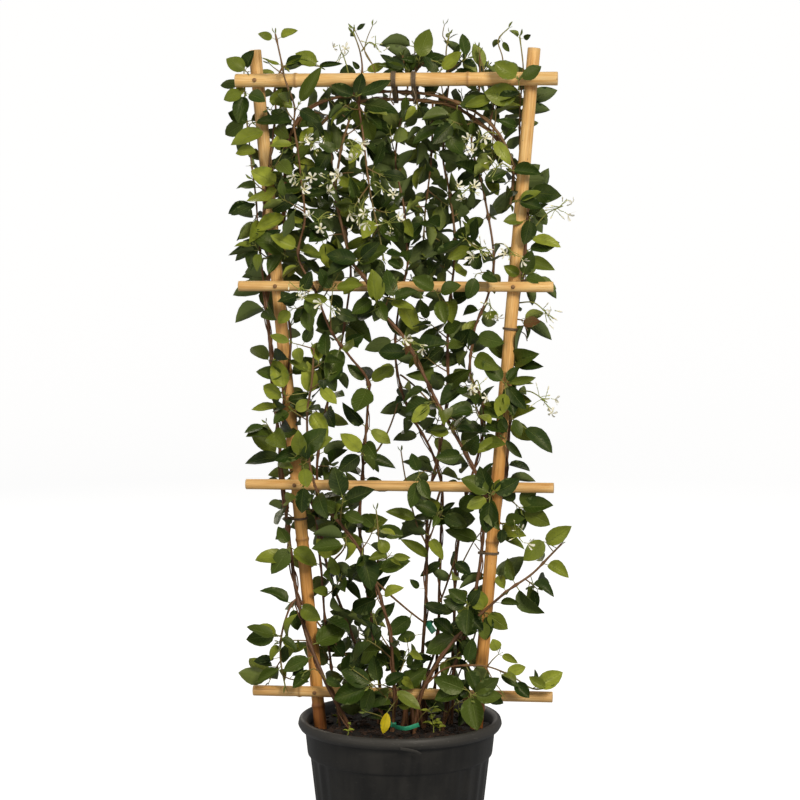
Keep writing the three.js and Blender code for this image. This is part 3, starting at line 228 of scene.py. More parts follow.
PLANT = {
    "stem_left_outer": [
        shoot_of(101, (3.2, 2.2), 185, 64, (32, 48), (-58, -24, 140), (-60, -26, 200), (-80, -34, 248),
            (-98, -34, 285), (-116, -22, 323), (-131, -8, 373), (-143, 0, 449), (-149, 0, 511),
            (-155, 0, 574), (-161, 0, 637), (-166, 0, 700), (-171, 3, 755), (-165, 15, 790),
            (-150, 13, 830), (-147, 2, 876), (-143, 0, 938), (-127, 2, 978), (-95, 2, 999), (-51, 0, 1009),
            (-1, -1, 1010), (49, 0, 1004), (93, 2, 985), (124, 0, 957), (141, 0, 915), (138, 2, 870)),
        shoot_of(102, (1.5, 0.9), 12, 52, (30, 45), (-171, 2, 755), (-178, 1, 813), (-182, 0, 863),
            (-187, 0, 913), (-192, 1, 963), (-197, 2, 1005), (-197, 2, 1046)),
        shoot_of(103, (1.7, 1.1), 10, 51, (29, 43), (-131, -8, 370), (-140, -16, 358), (-148, -24, 332),
            (-149, -30, 299), (-143, -33, 262)),
        shoot_of(104, (1.6, 1), 16, 51, (30, 45), (-51, 0, 1009), (-50, -14, 985), (-42, -24, 938),
            (-36, -28, 888), (-24, -31, 838), (-18, -29, 800)),
        shoot_of(105, (1.5, 0.9), 26, 46, (21, 34), (-51, 0, 1009), (-47, 3, 1038), (-50, 2, 1062),
            (-58, 0, 1084)),
        shoot_of(106, (1.4, 0.9), 60, 59, (20, 27), (112, 1, 968), (120, 4, 1010), (128, 4, 1045),
            (122, 3, 1072), (136, 1, 1088)),
    ],
    "stem_right_outer": [
        shoot_of(201, (3.2, 2.1), 150, 64, (32, 48), (29, 4, 140), (30, 5, 200), (32, 8, 255),
            (49, 11, 292), (77, 14, 333), (100, 16, 366), (114, 15, 398), (120, 14, 432), (123, 13, 470),
            (131, 11, 524), (136, 10, 574), (139, 10, 630), (141, 13, 687), (146, 12, 737), (153, 10, 788),
            (158, 8, 830), (158, 14, 868), (148, 17, 905), (132, 12, 935), (116, 9, 956), (97, 10, 974),
            (72, 10, 989), (40, 9, 998), (0, 9, 1001), (-40, 10, 1000), (-75, 11, 990), (-101, 11, 970),
            (-116, 11, 940)),
        shoot_of(202, (1.7, 1), 18, 55, (30, 45), (40, 9, 998), (38, 20, 960), (34, 30, 910),
            (28, 36, 860), (26, 36, 800), (22, 34, 745)),
        shoot_of(203, (1.5, 0.9), 34, 49, (22, 36), (57, 9, 994), (60, 8, 1030), (57, 4, 1060),
            (61, 2, 1082)),
        shoot_of(204, (1.4, 0.9), 66, 55, (18, 28), (150, 17, 900), (148, 14, 960), (151, 8, 1012),
            (152, 5, 1045), (150, 3, 1078)),
    ],
    "stem_right_low": [
        shoot_of(301, (3, 1.5), 200, 51, (29, 45), (20, -32, 140), (21, -33, 200), (30, -34, 252),
            (44, -34, 285), (62, -30, 312), (80, -24, 334), (106, -16, 358), (136, -13, 384),
            (167, -9, 406), (190, -6, 430), (205, -4, 446)),
        shoot_of(302, (1.7, 1), 60, 51, (26, 39), (36, -34, 268), (58, -36, 288), (86, -36, 294),
            (114, -33, 292), (143, -31, 280), (170, -32, 266), (192, -33, 268)),
    ],
    "stem_diagonal": [
        shoot_of(401, (3, 1.8), 170, 70, (32, 46), (54, -6, 140), (55, -5, 200), (62, 0, 252),
            (78, -4, 310), (93, -5, 365), (101, -3, 410), (106, -4, 455), (110, -22, 488), (107, -30, 517),
            (92, -33, 550), (70, -34, 588), (44, -36, 637), (13, -36, 699), (-14, -34, 731),
            (-30, -31, 760), (-45, -30, 785), (-58, -26, 800), (-70, -20, 838), (-79, -14, 888),
            (-72, -12, 938), (-62, -12, 975)),
    ],
    "stem_centre_left": [
        shoot_of(501, (2.6, 1.5), 120, 54, (30, 46), (-6, -30, 140), (-6, -31, 200), (-4, -32, 252),
            (-9, -30, 323), (-20, -27, 373), (-35, -27, 411), (-52, -28, 444), (-70, -30, 468),
            (-94, -32, 496), (-108, -32, 530), (-113, -29, 574), (-114, -27, 612), (-108, -27, 650),
            (-106, -27, 690)),
        shoot_of(502, (1.6, 1), 14, 49, (29, 41), (-30, -27, 400), (-24, -40, 425), (-22, -44, 455),
            (-26, -44, 490)),
    ],
    "stem_centre_one": [
        shoot_of(601, (2.8, 1.5), 330, 58, (30, 46), (14, 20, 140), (15, 20, 200), (24, 20, 260),
            (29, 18, 323), (32, 17, 392), (33, 16, 465), (37, 16, 512), (45, 14, 544), (54, 13, 587),
            (60, 12, 650), (59, 12, 706), (63, 12, 754), (68, 15, 813), (62, 20, 876), (52, 22, 926),
            (56, 24, 966)),
        shoot_of(602, (1.6, 1), 14, 50, (29, 41), (33, 16, 440), (42, 0, 462), (48, -14, 480),
            (52, -24, 486)),
    ],
    "stem_centre_two": [
        shoot_of(701, (2.7, 1.2), 190, 63, (30, 46), (-24, 6, 140), (-24, 6, 200), (-26, 6, 248),
            (-32, 6, 310), (-42, 5, 373), (-51, 6, 436), (-52, 8, 480), (-48, 8, 544), (-42, 4, 608),
            (-40, -4, 648), (-62, -14, 680), (-84, -26, 712), (-104, -31, 765), (-124, -32, 805),
            (-116, -33, 852), (-121, -34, 913), (-128, -35, 965), (-127, -36, 991), (-139, -37, 1023),
            (-144, -38, 1050), (-151, -36, 1080)),
    ],
    "stem_centre_three": [
        shoot_of(801, (2.7, 1.4), 340, 58, (30, 46), (36, 36, 140), (37, 37, 200), (42, 36, 260),
            (46, 34, 323), (48, 32, 392), (50, 31, 465), (51, 30, 509), (38, 28, 555), (14, 26, 599),
            (0, 20, 637), (-8, 18, 687), (-2, 16, 750), (8, 15, 800), (3, 18, 863), (-8, 24, 926),
            (-2, 25, 976), (8, 21, 1020), (2, 14, 1056)),
        shoot_of(802, (1.5, 0.9), 12, 46, (29, 43), (8, 21, 1020), (22, 8, 1040), (34, -2, 1048),
            (48, -8, 1046)),
    ],
    "stem_centre_four": [
        shoot_of(901, (2.6, 1.3), 250, 58, (30, 46), (62, 30, 140), (63, 29, 200), (66, 29, 248),
            (67, 29, 323), (68, 26, 386), (72, 18, 440), (78, 10, 480), (85, 8, 512), (97, 5, 549),
            (106, 1, 587), (104, -5, 624), (89, -7, 662), (94, -3, 712), (110, 2, 756), (118, 3, 800),
            (111, 10, 850), (100, 17, 901), (88, 22, 951), (97, 23, 1014), (98, 17, 1058)),
        shoot_of(902, (1.6, 1), 12, 49, (29, 41), (106, 1, 587), (102, -14, 606), (96, -26, 628),
            (94, -33, 656)),
    ],
    "stem_left_mid": [
        shoot_of(1001, (2.5, 1.4), 95, 55, (30, 46), (-38, 26, 140), (-39, 26, 200), (-48, 26, 260),
            (-66, 24, 323), (-85, 21, 373), (-99, 17, 423), (-106, 13, 474), (-108, 12, 536),
            (-101, 13, 587), (-90, 15, 637), (-78, 18, 687), (-70, 20, 737), (-65, 20, 788),
            (-72, 20, 838), (-84, 19, 888), (-89, 20, 930), (-84, 24, 962)),
        shoot_of(1002, (1.6, 1), 14, 49, (29, 41), (-96, 18, 410), (-84, 2, 420), (-70, -8, 436),
            (-66, -12, 462)),
    ],
    "stem_left_twiner": [
        shoot_of(1101, (2, 1.3), 140, 63, (30, 46), (-77, 8, 140), (-78, 9, 200), (-88, 12, 260),
            (-97, 11, 340), (-104, 9, 420), (-111, 11, 480), *twine(LEFT_UPRIGHT, 1, 1.75),
            (-158, 10, 985), (-160, 12, 1012), (-150, 8, 1040), (-132, -2, 1046), (-108, -8, 1045)),
    ],
}

# Each flower spray's root on a stem, its end, the way that it faces and its number of blooms.
SPRAYS = [
    ((-124, -34, 940), (-100, -56, 944), (0.2, -1, 0), 3),
    ((-72, -12, 945), (-52, -50, 940), (0.3, -1, -0.2), 3),
    ((-121, -34, 905), (-112, -62, 900), (-0.2, -1, -0.1), 3),
    ((-78, -14, 892), (-80, -54, 897), (0, -1, 0.1), 3),
    ((-36, -28, 880), (-44, -60, 852), (-0.1, -1, -0.3), 4),
    ((-24, -31, 838), (-6, -62, 846), (0.3, -1, 0), 3),
    ((124, 0, 957), (98, -38, 945), (0, -1, 0.3), 3),
    ((141, 0, 912), (120, -36, 912), (-0.1, -1, 0), 3),
    ((103, 15, 888), (84, -34, 886), (0, -1, 0.1), 3),
    ((118, 3, 803), (100, -38, 814), (0.1, -1, 0.2), 4),
    ((115, 6, 820), (146, -34, 806), (0.1, -1, 0.1), 2),
    ((105, 0, 738), (118, -38, 742), (0.1, -1, -0.2), 2),
    ((10, -36, 704), (24, -66, 698), (0.1, -1, -0.1), 2),
    ((-104, -31, 765), (-120, -60, 764), (-0.2, -1, 0.1), 2),
    ((-84, -26, 714), (-80, -58, 744), (0, -1, 0.3), 2),
    ((158, 7, 828), (204, -12, 868), (0.8, -0.6, 0), 3),
    ((148, 11, 748), (188, -12, 732), (0.8, -0.5, -0.3), 3),
    ((139, 10, 634), (186, -12, 624), (0.8, -0.5, -0.2), 3),
    ((-60, 0, 1008), (-74, -2, 1062), (-0.5, -0.6, 0.6), 2),
    ((123, 13, 468), (154, -34, 456), (0.3, -1, 0.1), 2),
    ((-75, -17, 855), (-98, -50, 850), (-0.2, -1, -0.1), 2),
    ((-37, -28, 892), (-14, -58, 888), (0.2, -1, 0.1), 2),
    ((95, -30, 648), (106, -62, 643), (0.1, -1, 0), 2),
    ((-50, 2, 1060), (-28, -8, 1066), (0.5, -0.8, 0.2), 2),
]

# Openings in front that no leaf covers: from and to x, from and to z.
OPEN = [
    (-210, -60, 1012, 1036), (58, 200, 1012, 1036), (-210, -150, 758, 779), (40, 200, 757, 779),
    (-200, -140, 507, 528), (-75, -5, 508, 527), (125, 200, 507, 527), (-190, -60, 243, 262),
    (120, 200, 244, 258), (-190, -160, 930, 1070), (150, 180, 890, 1070), (128, 158, 640, 757),
    (104, 130, 300, 430), (-135, -112, 380, 470), (-118, -98, 206, 245), (90, 108, 206, 245),
]


# ---------------------------------------------------------------- growth
class Rods:
    """The stems, canes, stalks and bands that leaves stay clear of."""

    def __init__(self):
        self.rows = []

    def add(self, start, end, radius, node):
        self.rows.append((start, end - start, radius, node))

    def ready(self):
        self.start = np.array([r[0] for r in self.rows])
        self.span = np.array([r[1] for r in self.rows])
        self.square = np.maximum((self.span**2).sum(1), 1e-6)
        self.radius = np.array([r[2] for r in self.rows])
        self.node = np.array([r[3] for r in self.rows])
        return self

    def distance(self, points, chosen=slice(None)):
        """From each point to each chosen rod's surface."""
        start, span = self.start[chosen], self.span[chosen]
        out = points[:, None, :] - start[None]
        t = np.clip((out * span).sum(2) / self.square[chosen], 0, 1)
        gap = out - span * t[..., None]
        return sizes(gap) - self.radius[chosen]


def grow_spray(spray, index, off):
    """The stalk's line and each bloom's place and facing."""
    draw = Draws(SPRAY["seed"] + index)
    root, end, facing, count = spray
    root, end, facing = vec(*root), vec(*end), unit(vec(*facing))
    start = root + unit(end - root) * off
    middle = start * 0.5 + end * 0.5 + vec(0, 0, SPRAY["arch"])
    side = unit(np.cross(facing, [0, 0, 1]))
    up = np.cross(side, facing)
    blooms = []
    for i in range(count):
        turn = math.tau * (i + draw(-0.15, 0.15)) / count + 0.6
        outward = side * math.cos(turn) + up * math.sin(turn)
        place = end + outward * SPRAY["spread"] * draw(0.9, 1.1)
        place = place + facing * draw(3, 8)
        looks = unit(facing + outward * draw(0.2, 0.6))
        blooms.append({"place": place, "facing": looks, "radius": draw(*BLOOM_RADIUS)})
    return {"stalk": [start, middle, end], "blooms": blooms}


def seat_spray(spray, index, stems):
    off = 1
    while True:
        grown = grow_spray(spray, index, off)
        if stems.distance(grown["stalk"][0][None]).min() >= GAP:
            return grown
        off += SPRAY["seat_step"]


WIDEST, SHOULDER, SHOULDER_WIDTH = 0.42, 0.76, 0.7


def blade_half_width(t):
    """The solids' outline: half the width at t along a blade, as a share of the widest."""
    rising = 0.06 + 0.94 * t / WIDEST
    falling = 1 - (1 - SHOULDER_WIDTH) * (t - WIDEST) / (SHOULDER - WIDEST)
    tip = SHOULDER_WIDTH * (1 - t) / (1 - SHOULDER)
    return np.where(t < WIDEST, rising, np.where(t < SHOULDER, falling, tip))


SAMPLE_T, SAMPLE_V = np.meshgrid(
    [0.08, 0.24, 0.4, 0.56, 0.72, 0.86, 1], [-0.95, -0.5, 0, 0.5, 0.95], indexing="ij"
)


def on_blade(leaf, t, v):
    """Points of a blade at t along it and v across it, from -1 to 1."""
    t, v = np.atleast_1d(t).ravel()[:, None], np.atleast_1d(v).ravel()[:, None]
    return (
        leaf["root"]
        + leaf["along"] * (PETIOLE + leaf["thick"] + t * leaf["length"])
        + leaf["side"] * v * leaf["half"] * blade_half_width(t)
        - leaf["normal"] * leaf["bend"] * leaf["length"] * t * t
    )


def inside_leaf(leaf, points, margin):
    out = points - leaf["root"]
    t = (out @ leaf["along"] - PETIOLE - leaf["thick"]) / leaf["length"]
    near = (t > -0.1) & (t < 1.06)
    t = np.clip(t, 0, 1)
    across = np.abs(out @ leaf["side"])
    lift = out @ leaf["normal"] + leaf["bend"] * leaf["length"] * t * t
    wide = leaf["half"] * blade_half_width(t) + 2
    return bool((near & (across < wide) & (np.abs(lift) < margin)).any())


def within(x, z, x0, x1, z0, z1):
    return (x > x0) & (x < x1) & (z > z0) & (z < z1)


def in_open_space(points):
    """True if points are in an opening, in the soil or too near the pot's rim."""
    x, y, z = points.T
    closed = (z < POT_HEIGHT + RIM_ROOM["up"]) & (np.hypot(x, y) > POT_RIM - RIM_ROOM["in"])
    closed |= z < SOIL_TOP + SOIL_MOUND + SOIL_ROOM
    for box in OPEN:
        closed |= (y < OPEN_FRONT) & within(x, z, *box)
    return bool(closed.any())


class Canopy(list):
    """The plant's leaves, with their middles and lengths in arrays as well."""

    def __init__(self):
        self.middles, self.spans = np.empty((5000, 3)), np.empty(5000)

    def append(self, leaf):
        self.middles[len(self)], self.spans[len(self)] = leaf["middle"], leaf["length"]
        super().append(leaf)

    def near(self, leaf):
        apart = sizes(self.middles[: len(self)] - leaf["middle"])
        close = apart <= (self.spans[: len(self)] + leaf["length"]) * REACH + 4
        return [self[i] for i in np.nonzero(close)[0]]


def leaf_of(node, root, along, look, length, half, bend, thick):
    """A leaf whose upper side turns towards look, with points of its blade."""
    normal = unit(look - along * np.dot(look, along))
    leaf = {
        "node": node, "root": root, "along": along, "normal": normal, "side": np.cross(normal, along),
        "length": length, "half": half, "bend": bend, "thick": thick,
    }
    leaf["samples"] = on_blade(leaf, SAMPLE_T, SAMPLE_V)
    leaf["middle"] = on_blade(leaf, 0.5, 0)[0]
    return leaf


def is_clear(leaf, share=1.0):
    """True if a leaf meets nothing. share scales the room that it needs."""
    if in_open_space(leaf["samples"]):
        return False
    reach = leaf["length"] * REACH + CLEAR_OF_ROD
    near = np.nonzero(rods.distance(leaf["middle"][None])[0] <= reach)[0]
    if len(near):
        own = rods.node[near] == leaf["node"]
        neck = leaf["root"] + leaf["along"] * (leaf["thick"] + NECK)
        if (rods.distance(neck[None], near)[0][~own] < CLEAR_OF_NECK * share).any():
            return False
        margin = np.where(own, CLEAR_OF_OWN, CLEAR_OF_ROD) * share
        if (rods.distance(leaf["samples"], near) < margin).any():
            return False
    for other in leaves.near(leaf):
        if inside_leaf(other, leaf["samples"], CLEAR_OF_LEAF * share):
            return False
        if inside_leaf(leaf, other["samples"], CLEAR_OF_LEAF * share):
            return False
    return True


def try_leaf(node, place, direction, thick, pair, hand, lengths, shrink, draw, rule=LEAF_RULE):
    """One try at a leaf on a shoot. pair counts the leaf pairs, and hand is +1 or -1 in a pair."""
    stray = rule["turn_stray"]
    away = sideways(direction, math.radians(rule["turns"][pair % 2] + draw(-stray, stray))) * hand
    forward = direction * draw(*rule["forward"])
    wide = rule["sideways"]
    drop = vec(draw(-wide, wide), draw(-wide, wide), draw(*rule["drop"]))
    along = unit(away + forward + drop)
    front = -1 if place[1] + LOOK_AHEAD * away[1] < BACK_FROM else 1
    look_x, look_y = rule["look_x"], rule["look_y"]
    to_light = vec(draw(-look_x, look_x), front + draw(-look_y, look_y), draw(*rule["look_up"]))
    length = draw(*lengths) * shrink
    half = length * draw(*rule["half"])
    return leaf_of(node, place, along, to_light, length, half, draw(*rule["bend"]), thick)


def grow_leaves(shoots, node):
    for shoot in shoots:
        draw = Draws(shoot["seed"])
        line, (foot, tip) = shoot["line"], shoot["thick"]
        lengths = lengths_along(line)
        total = lengths[-1]
        s, pair = shoot["from"], 0
        while s < total:
            place, direction = at(line, lengths, s)
            thick = foot + (tip - foot) * s / total
            young = 1 - (1 - TIP_SHRINK) * max(0, 1 - (total - s) / LEAF_RULE["young_length"])
            for hand in (1, -1):
                for k in range(TRIES):
                    shrink = young * (1 - SHRINK_STEP * k)
                    leaf = try_leaf(node, place, direction, thick, pair, hand, shoot["leaf"], shrink, draw)
                    if is_clear(leaf):
                        leaves.append(leaf)
                        break
            s += shoot["spacing"] * draw(0.85, 1.15)
            pair += 1


rods = Rods()
for node, shoots in PLANT.items():
    for shoot in shoots:
        shoot["line"] = line = through(shoot["path"], STEM_STEP)
        foot, tip = shoot["thick"]
        for k in range(1, len(line)):
            t = k / (len(line) - 1)
            rods.add(line[k - 1], line[k], foot + (tip - foot) * t, node)
rods.ready()
sprays = [seat_spray(spray, i, rods) for i, spray in enumerate(SPRAYS)]
for upright in UPRIGHTS.values():
    rods.add(*upright_ends(upright), UPRIGHT_RADIUS, "cane")
for rail in RAILS:
    rods.add(*rail_ends(rail), rail["radius"], "cane")
for spray in sprays:
    start, middle, end = spray["stalk"]
    rods.add(start, middle, SPRAY["stalk"], "spray")
    rods.add(middle, end, SPRAY["stalk"], "spray")
    for bloom in spray["blooms"]:
        view_end = bloom["place"] + bloom["facing"] * BLOOM_VIEW["length"]
        rods.add(bloom["place"], view_end, bloom["radius"] * BLOOM_VIEW["width"], "spray")


def stem_round(node, axis, value):
    """Where a stem passes a height or an x above the upper rail, its radius and its direction."""
    line, thick = PLANT[node][0]["line"], PLANT[node][0]["thick"]
    for a, b in zip(line[:-1], line[1:]):
        passes = (a[axis] - value) * (b[axis] - value) <= 0
        if passes and (axis == 2 or b[2] > RAILS[2]["z"]):
            t = (value - a[axis]) / (b[axis] - a[axis])
            return a * (1 - t) + b * t, thick[0], unit(b - a)
    raise ValueError(node)


bands = []
top_rail = RAILS[3]
for name, x in ARCH_TIES:
    rounds = [(vec(x, rail_y(top_rail), top_rail["z"]), top_rail["radius"])]
    rounds += [stem_round(n, 0, x)[:2] for n in ("stem_left_outer", "stem_right_outer")]
    bands.append({"name": name, "along": vec(1, 0, 0), "rounds": rounds})
for name, upright, z, node in UPRIGHT_TIES:
    rounds = [(vec(upright_x(upright, z), 0, z), UPRIGHT_RADIUS), stem_round(node, 2, z)[:2]]
    bands.append({"name": name, "along": unit(vec(upright["lean"], 0, 1)), "rounds": rounds})
for name, node, z in GREEN_TIES:
    centre, radius, along = stem_round(node, 2, z)
    bands.append({"name": name, "along": along, "rounds": [(centre, radius)]})
for band in bands:
    for centre, radius in band["rounds"]:
        rods.add(centre, centre + band["along"] * 0.1, radius + BAND_ROOM, "band")
rods.ready()

leaves = Canopy()
for node, shoots in PLANT.items():
    grow_leaves(shoots, node)


# ---------------------------------------------------------------- second growth
# Side shoots and leaves between the pairs that the solids hold: from and to x, from and to z, and
# how many tries a stem has there at each step.
FULLNESS = [
    (-240, 240, 1036, 1200, 0.1), (-168, 164, 772, 1036, 1.15), (-215, -127, 640, 772, 0.12),
    (-127, 24, 574, 660, 0.25), (-127, 24, 660, 772, 0.6), (24, 165, 536, 640, 0.4),
    (24, 165, 640, 772, 0.8), (-195, -127, 248, 624, 0.6), (-127, -26, 323, 574, 0.45),
    (-26, 62, 323, 574, 0.15), (62, 112, 340, 510, 0.3), (62, 215, 248, 536, 0.7),
    (-100, 124, 215, 323, 1.15),
]
THIN_GROWTH = 0.5
SIDE_SHOOT = {
    "spacing": 26, "length": (16, 52), "thick": (1.0, 0.55), "seed": 5000, "odds": 0.6, "room": 1.2,
    "pairs_at": (0.4, 0.72, 0.99),
}
TWIG_STEP, TWIG_RADIUS = 6, 0.7
HUNG_BEND = 0.08
SECOND_ROOM = 0.5  # of the room that the first leaves keep
SECOND_LEAF = (24, 43)
FAR_LEFT, FAR_RIGHT, FAR_TOP = -214, 218, 1086  # no second leaf reaches past these
# Kept clear before a y: the soil with the tape's end and the seedlings, and the top of an upright.
SECOND_OPEN = [
    (-10, 34, 205, 236, -24), (34, 72, 205, 242, -20), (140, 240, 1040, 1200, 100),
    (-240, -172, 1040, 1200, 100),
]
IN_FRONT = -18  # a stem in front of this y stays in sight
SHOWN = 5  # to each side of its middle
ARCH = {"x": 130, "y": 13, "z": 950}  # the stems' arch under the top rail stays in sight too
SECOND_RULE = {
    **LEAF_RULE, "look_x": 1.3, "look_y": 1.0, "look_up": (-0.3, 1.7), "half": (0.23, 0.36),
    "bend": (-0.08, 0.45),
}
# Leafy tufts set one by one, over the soil and where the canopy bunches: stem, leaf lengths and route.
TUFTS = [
    ("left_outer", (28, 42), ((-92, -34, 276), (-104, -46, 288), (-116, -54, 284))),
    ("centre_left", (34, 48), ((-5, -31, 240), (-22, -44, 262), (-40, -52, 280), (-54, -54, 290))),
    ("centre_left", (32, 48), ((-6, -31, 214), (-20, -48, 230), (-38, -60, 238))),
    ("centre_left", (28, 44), ((-6, -31, 222), (-2, -48, 246), (4, -58, 256))),
    ("right_low", (26, 40), ((22, -33, 212), (34, -50, 234), (48, -58, 246))),
    ("diagonal", (32, 48), ((56, -4, 214), (68, -28, 238), (84, -44, 250), (94, -52, 254))),
    ("right_low", (28, 42), ((44, -34, 285), (60, -46, 300), (76, -52, 308))),
    ("right_low", (24, 38), ((112, -33, 292), (122, -46, 278), (134, -52, 264))),
    ("centre_one", (22, 34), ((22, 20, 250), (14, 4, 284), (10, -6, 316))),
    ("centre_left", (32, 46), ((-8, -30, 300), (-22, -42, 316), (-36, -46, 326))),
    ("centre_left", (36, 50), ((-62, -29, 456), (-64, -42, 454), (-62, -50, 446))),
    ("left_mid", (28, 44), ((-46, 26, 250), (-60, 4, 262), (-72, -16, 270))),
    ("centre_four", (26, 40), ((65, 29, 240), (84, 8, 258), (98, -10, 262))),
    ("centre_three", (26, 40), ((38, 37, 214), (30, 14, 236), (26, -4, 250))),
]
TUFT = {"seed": 3000, "spacing": 11, "bare": 12}

# Leaves set one by one that stand out from the rest: fresh ones, the largest, and spent yellow ones.
# Each has its stem, root, heading, the way that it faces, length, half width and tint.
LONE_LEAVES = [
    ("left_outer", (-150, -15, 895), (-0.9, -0.1, 0.45), (0.2, -1, 0.3), 35, 12, 0.66),
    ("left_outer", (-149, -13, 890), (-0.95, -0.1, -0.3), (-0.1, -1, 0.7), 41, 11, 0.56),
    ("left_outer", (-166, -12, 962), (-0.94, -0.2, -0.34), (0, -1, 0.6), 44, 12, 0.44),
    ("left_outer", (-176, -10, 936), (-1, 0, -0.05), (0.1, -1, 0.5), 26, 8, 0.54),
    ("right_outer", (160, 4, 828), (0.97, -0.1, -0.22), (0.1, -1, 0.8), 38, 8, 0.6),
    ("right_outer", (136, -24, 640), (-0.32, -0.1, -1), (0.1, -1, 0), 30, 10, 0.62),
    ("right_outer", (155, -6, 594), (0.75, -0.2, -0.62), (0.3, -1, 0.5), 46, 11, 0.06),
    ("left_outer", (-144, -14, 636), (-0.35, -0.1, 1), (0, -1, 0.1), 38, 13, 0.6),
    ("left_twiner", (-110, -16, 630), (-0.1, -0.2, 1), (0.15, -1, 0.1), 40, 12, 0.64),
    ("left_twiner", (-112, -18, 612), (0.6, -0.3, -0.75), (0, -1, 0.4), 36, 12, 0.6),
    ("left_outer", (-146, -12, 552), (-1, -0.1, -0.14), (0, -1, 0.8), 46, 12, 0.02),
    ("right_low", (182, -10, 444), (0.8, -0.2, 0.6), (-0.2, -1, 0.2), 39, 12, 0.46),
    ("right_low", (186, -9, 452), (-0.73, -0.3, -0.68), (0.2, -1, 0.4), 35, 11, 0.36),
    ("centre_three", (24, -6, 474), (-0.95, -0.25, 0.26), (0.1, -1, 0.4), 38, 8, 0.25),
    ("centre_left", (-2, -54, 266), (0.84, -0.2, -0.55), (0.2, -1, 0.4), 37, 8, 0.3),
    ("centre_left", (-9, -63, 243), (-0.16, -0.1, -1), (0.3, -1, 0.1), 27, 6, 0.85),
    ("diagonal", (15, -38, 712), (-0.1, -0.1, -1), (0.4, -1, 0.2), 24, 5, 1.0),
    ("diagonal", (24, -38, 690), (0.15, -0.2, -1), (-0.4, -1, 0.1), 20, 4, 1.0),
    ("right_outer", (150, 2, 722), (0.9, -0.2, 0.1), (0.1, -1, 0.3), 22, 8, 1.0),
    ("centre_one", (24, 2, 232), (-0.5, -0.4, -1), (0.3, -1, 0.3), 24, 6, 1.0),
    ("left_outer", (-177, -8, 872), (-0.93, -0.1, -0.36), (0, -1, 0.6), 34, 6, 0),
    ("left_outer", (-150, -6, 616), (-1, -0.1, -0.1), (0, -1, 0.5), 34, 6, 0.52),
    ("right_low", (124, -18, 371), (1, -0.1, 0), (0.1, -1, 0.6), 24, 6, 0.15),
    ("left_outer", (-152, -31, 297), (-1, -0.1, -0.1), (0, -1, 0.7), 27, 6, 0.04),
    ("left_outer", (-147, -33, 286), (-0.85, -0.2, -0.5), (0, -1, 0.6), 32, 7, 0.02),
    ("left_outer", (-107, -40, 302), (-0.88, -0.2, -0.42), (0.1, -1, 0.5), 36, 9, 0),
    ("left_outer", (-106, -41, 288), (-0.72, -0.2, -0.7), (0.1, -1, 0.4), 31, 8, 0.06),
    ("left_outer", (-94, -42, 276), (0.94, -0.2, -0.34), (0, -1, 0.5), 22, 6, 0.03),
    ("right_low", (108, -38, 285), (0.5, -0.2, -0.86), (0.2, -1, 0.3), 18, 7, 0.05),
    ("right_low", (127, -36, 286), (0.86, -0.2, -0.5), (0.1, -1, 0.5), 28, 6, 0.12),
    ("right_low", (145, -36, 276), (0.74, -0.2, -0.66), (0, -1, 0.4), 25, 9, 0.04),
    ("right_low", (108, -40, 262), (0.9, -0.2, -0.42), (0.1, -1, 0.3), 25, 8, 0.03),
    ("right_low", (190, -35, 266), (-0.82, -0.1, 0.57), (0.1, -1, 0.4), 24, 7, 0.4),
    ("centre_three", (54, 22, 418), (-0.83, -0.2, -0.55), (0.1, -1, 0.5), 32, 7, 0.05),
    ("centre_four", (66, 12, 420), (0.8, -0.2, -0.6), (0.1, -1, 0.3), 25, 9, 0.03),
    ("centre_one", (26, 8, 364), (0.98, -0.2, -0.2), (0, -1, 0.6), 35, 9, 0),
    ("centre_four", (72, 18, 354), (-1, -0.2, 0.1), (0, -1, 0.6), 23, 7, 0.04),
    ("right_low", (76, -12, 328), (-0.88, -0.1, -0.47), (0.1, -1, 0.5), 43, 13, 0),
    ("right_low", (78, -12, 326), (0.47, -0.1, -0.88), (0.2, -1, 0.3), 25, 11, 0.03),
    ("centre_left", (17, 4, 349), (-0.8, -0.2, -0.6), (0.2, -1, 0.4), 37, 11, 0.02),
    ("centre_one", (24, 8, 324), (-0.98, -0.2, -0.2), (0.1, -1, 0.5), 24, 8, 0.14),
    ("centre_one", (26, 10, 380), (-0.68, -0.2, 0.73), (0.2, -1, 0.3), 16, 5, 0.08),
    ("centre_left", (-45, -38, 438), (0.28, -0.15, -0.96), (0.3, -1, 0.1), 47, 15, 0.04),
    ("centre_one", (38, 8, 422), (-0.82, -0.2, 0.57), (0.1, -1, 0.4), 41, 8, 0.34),
]
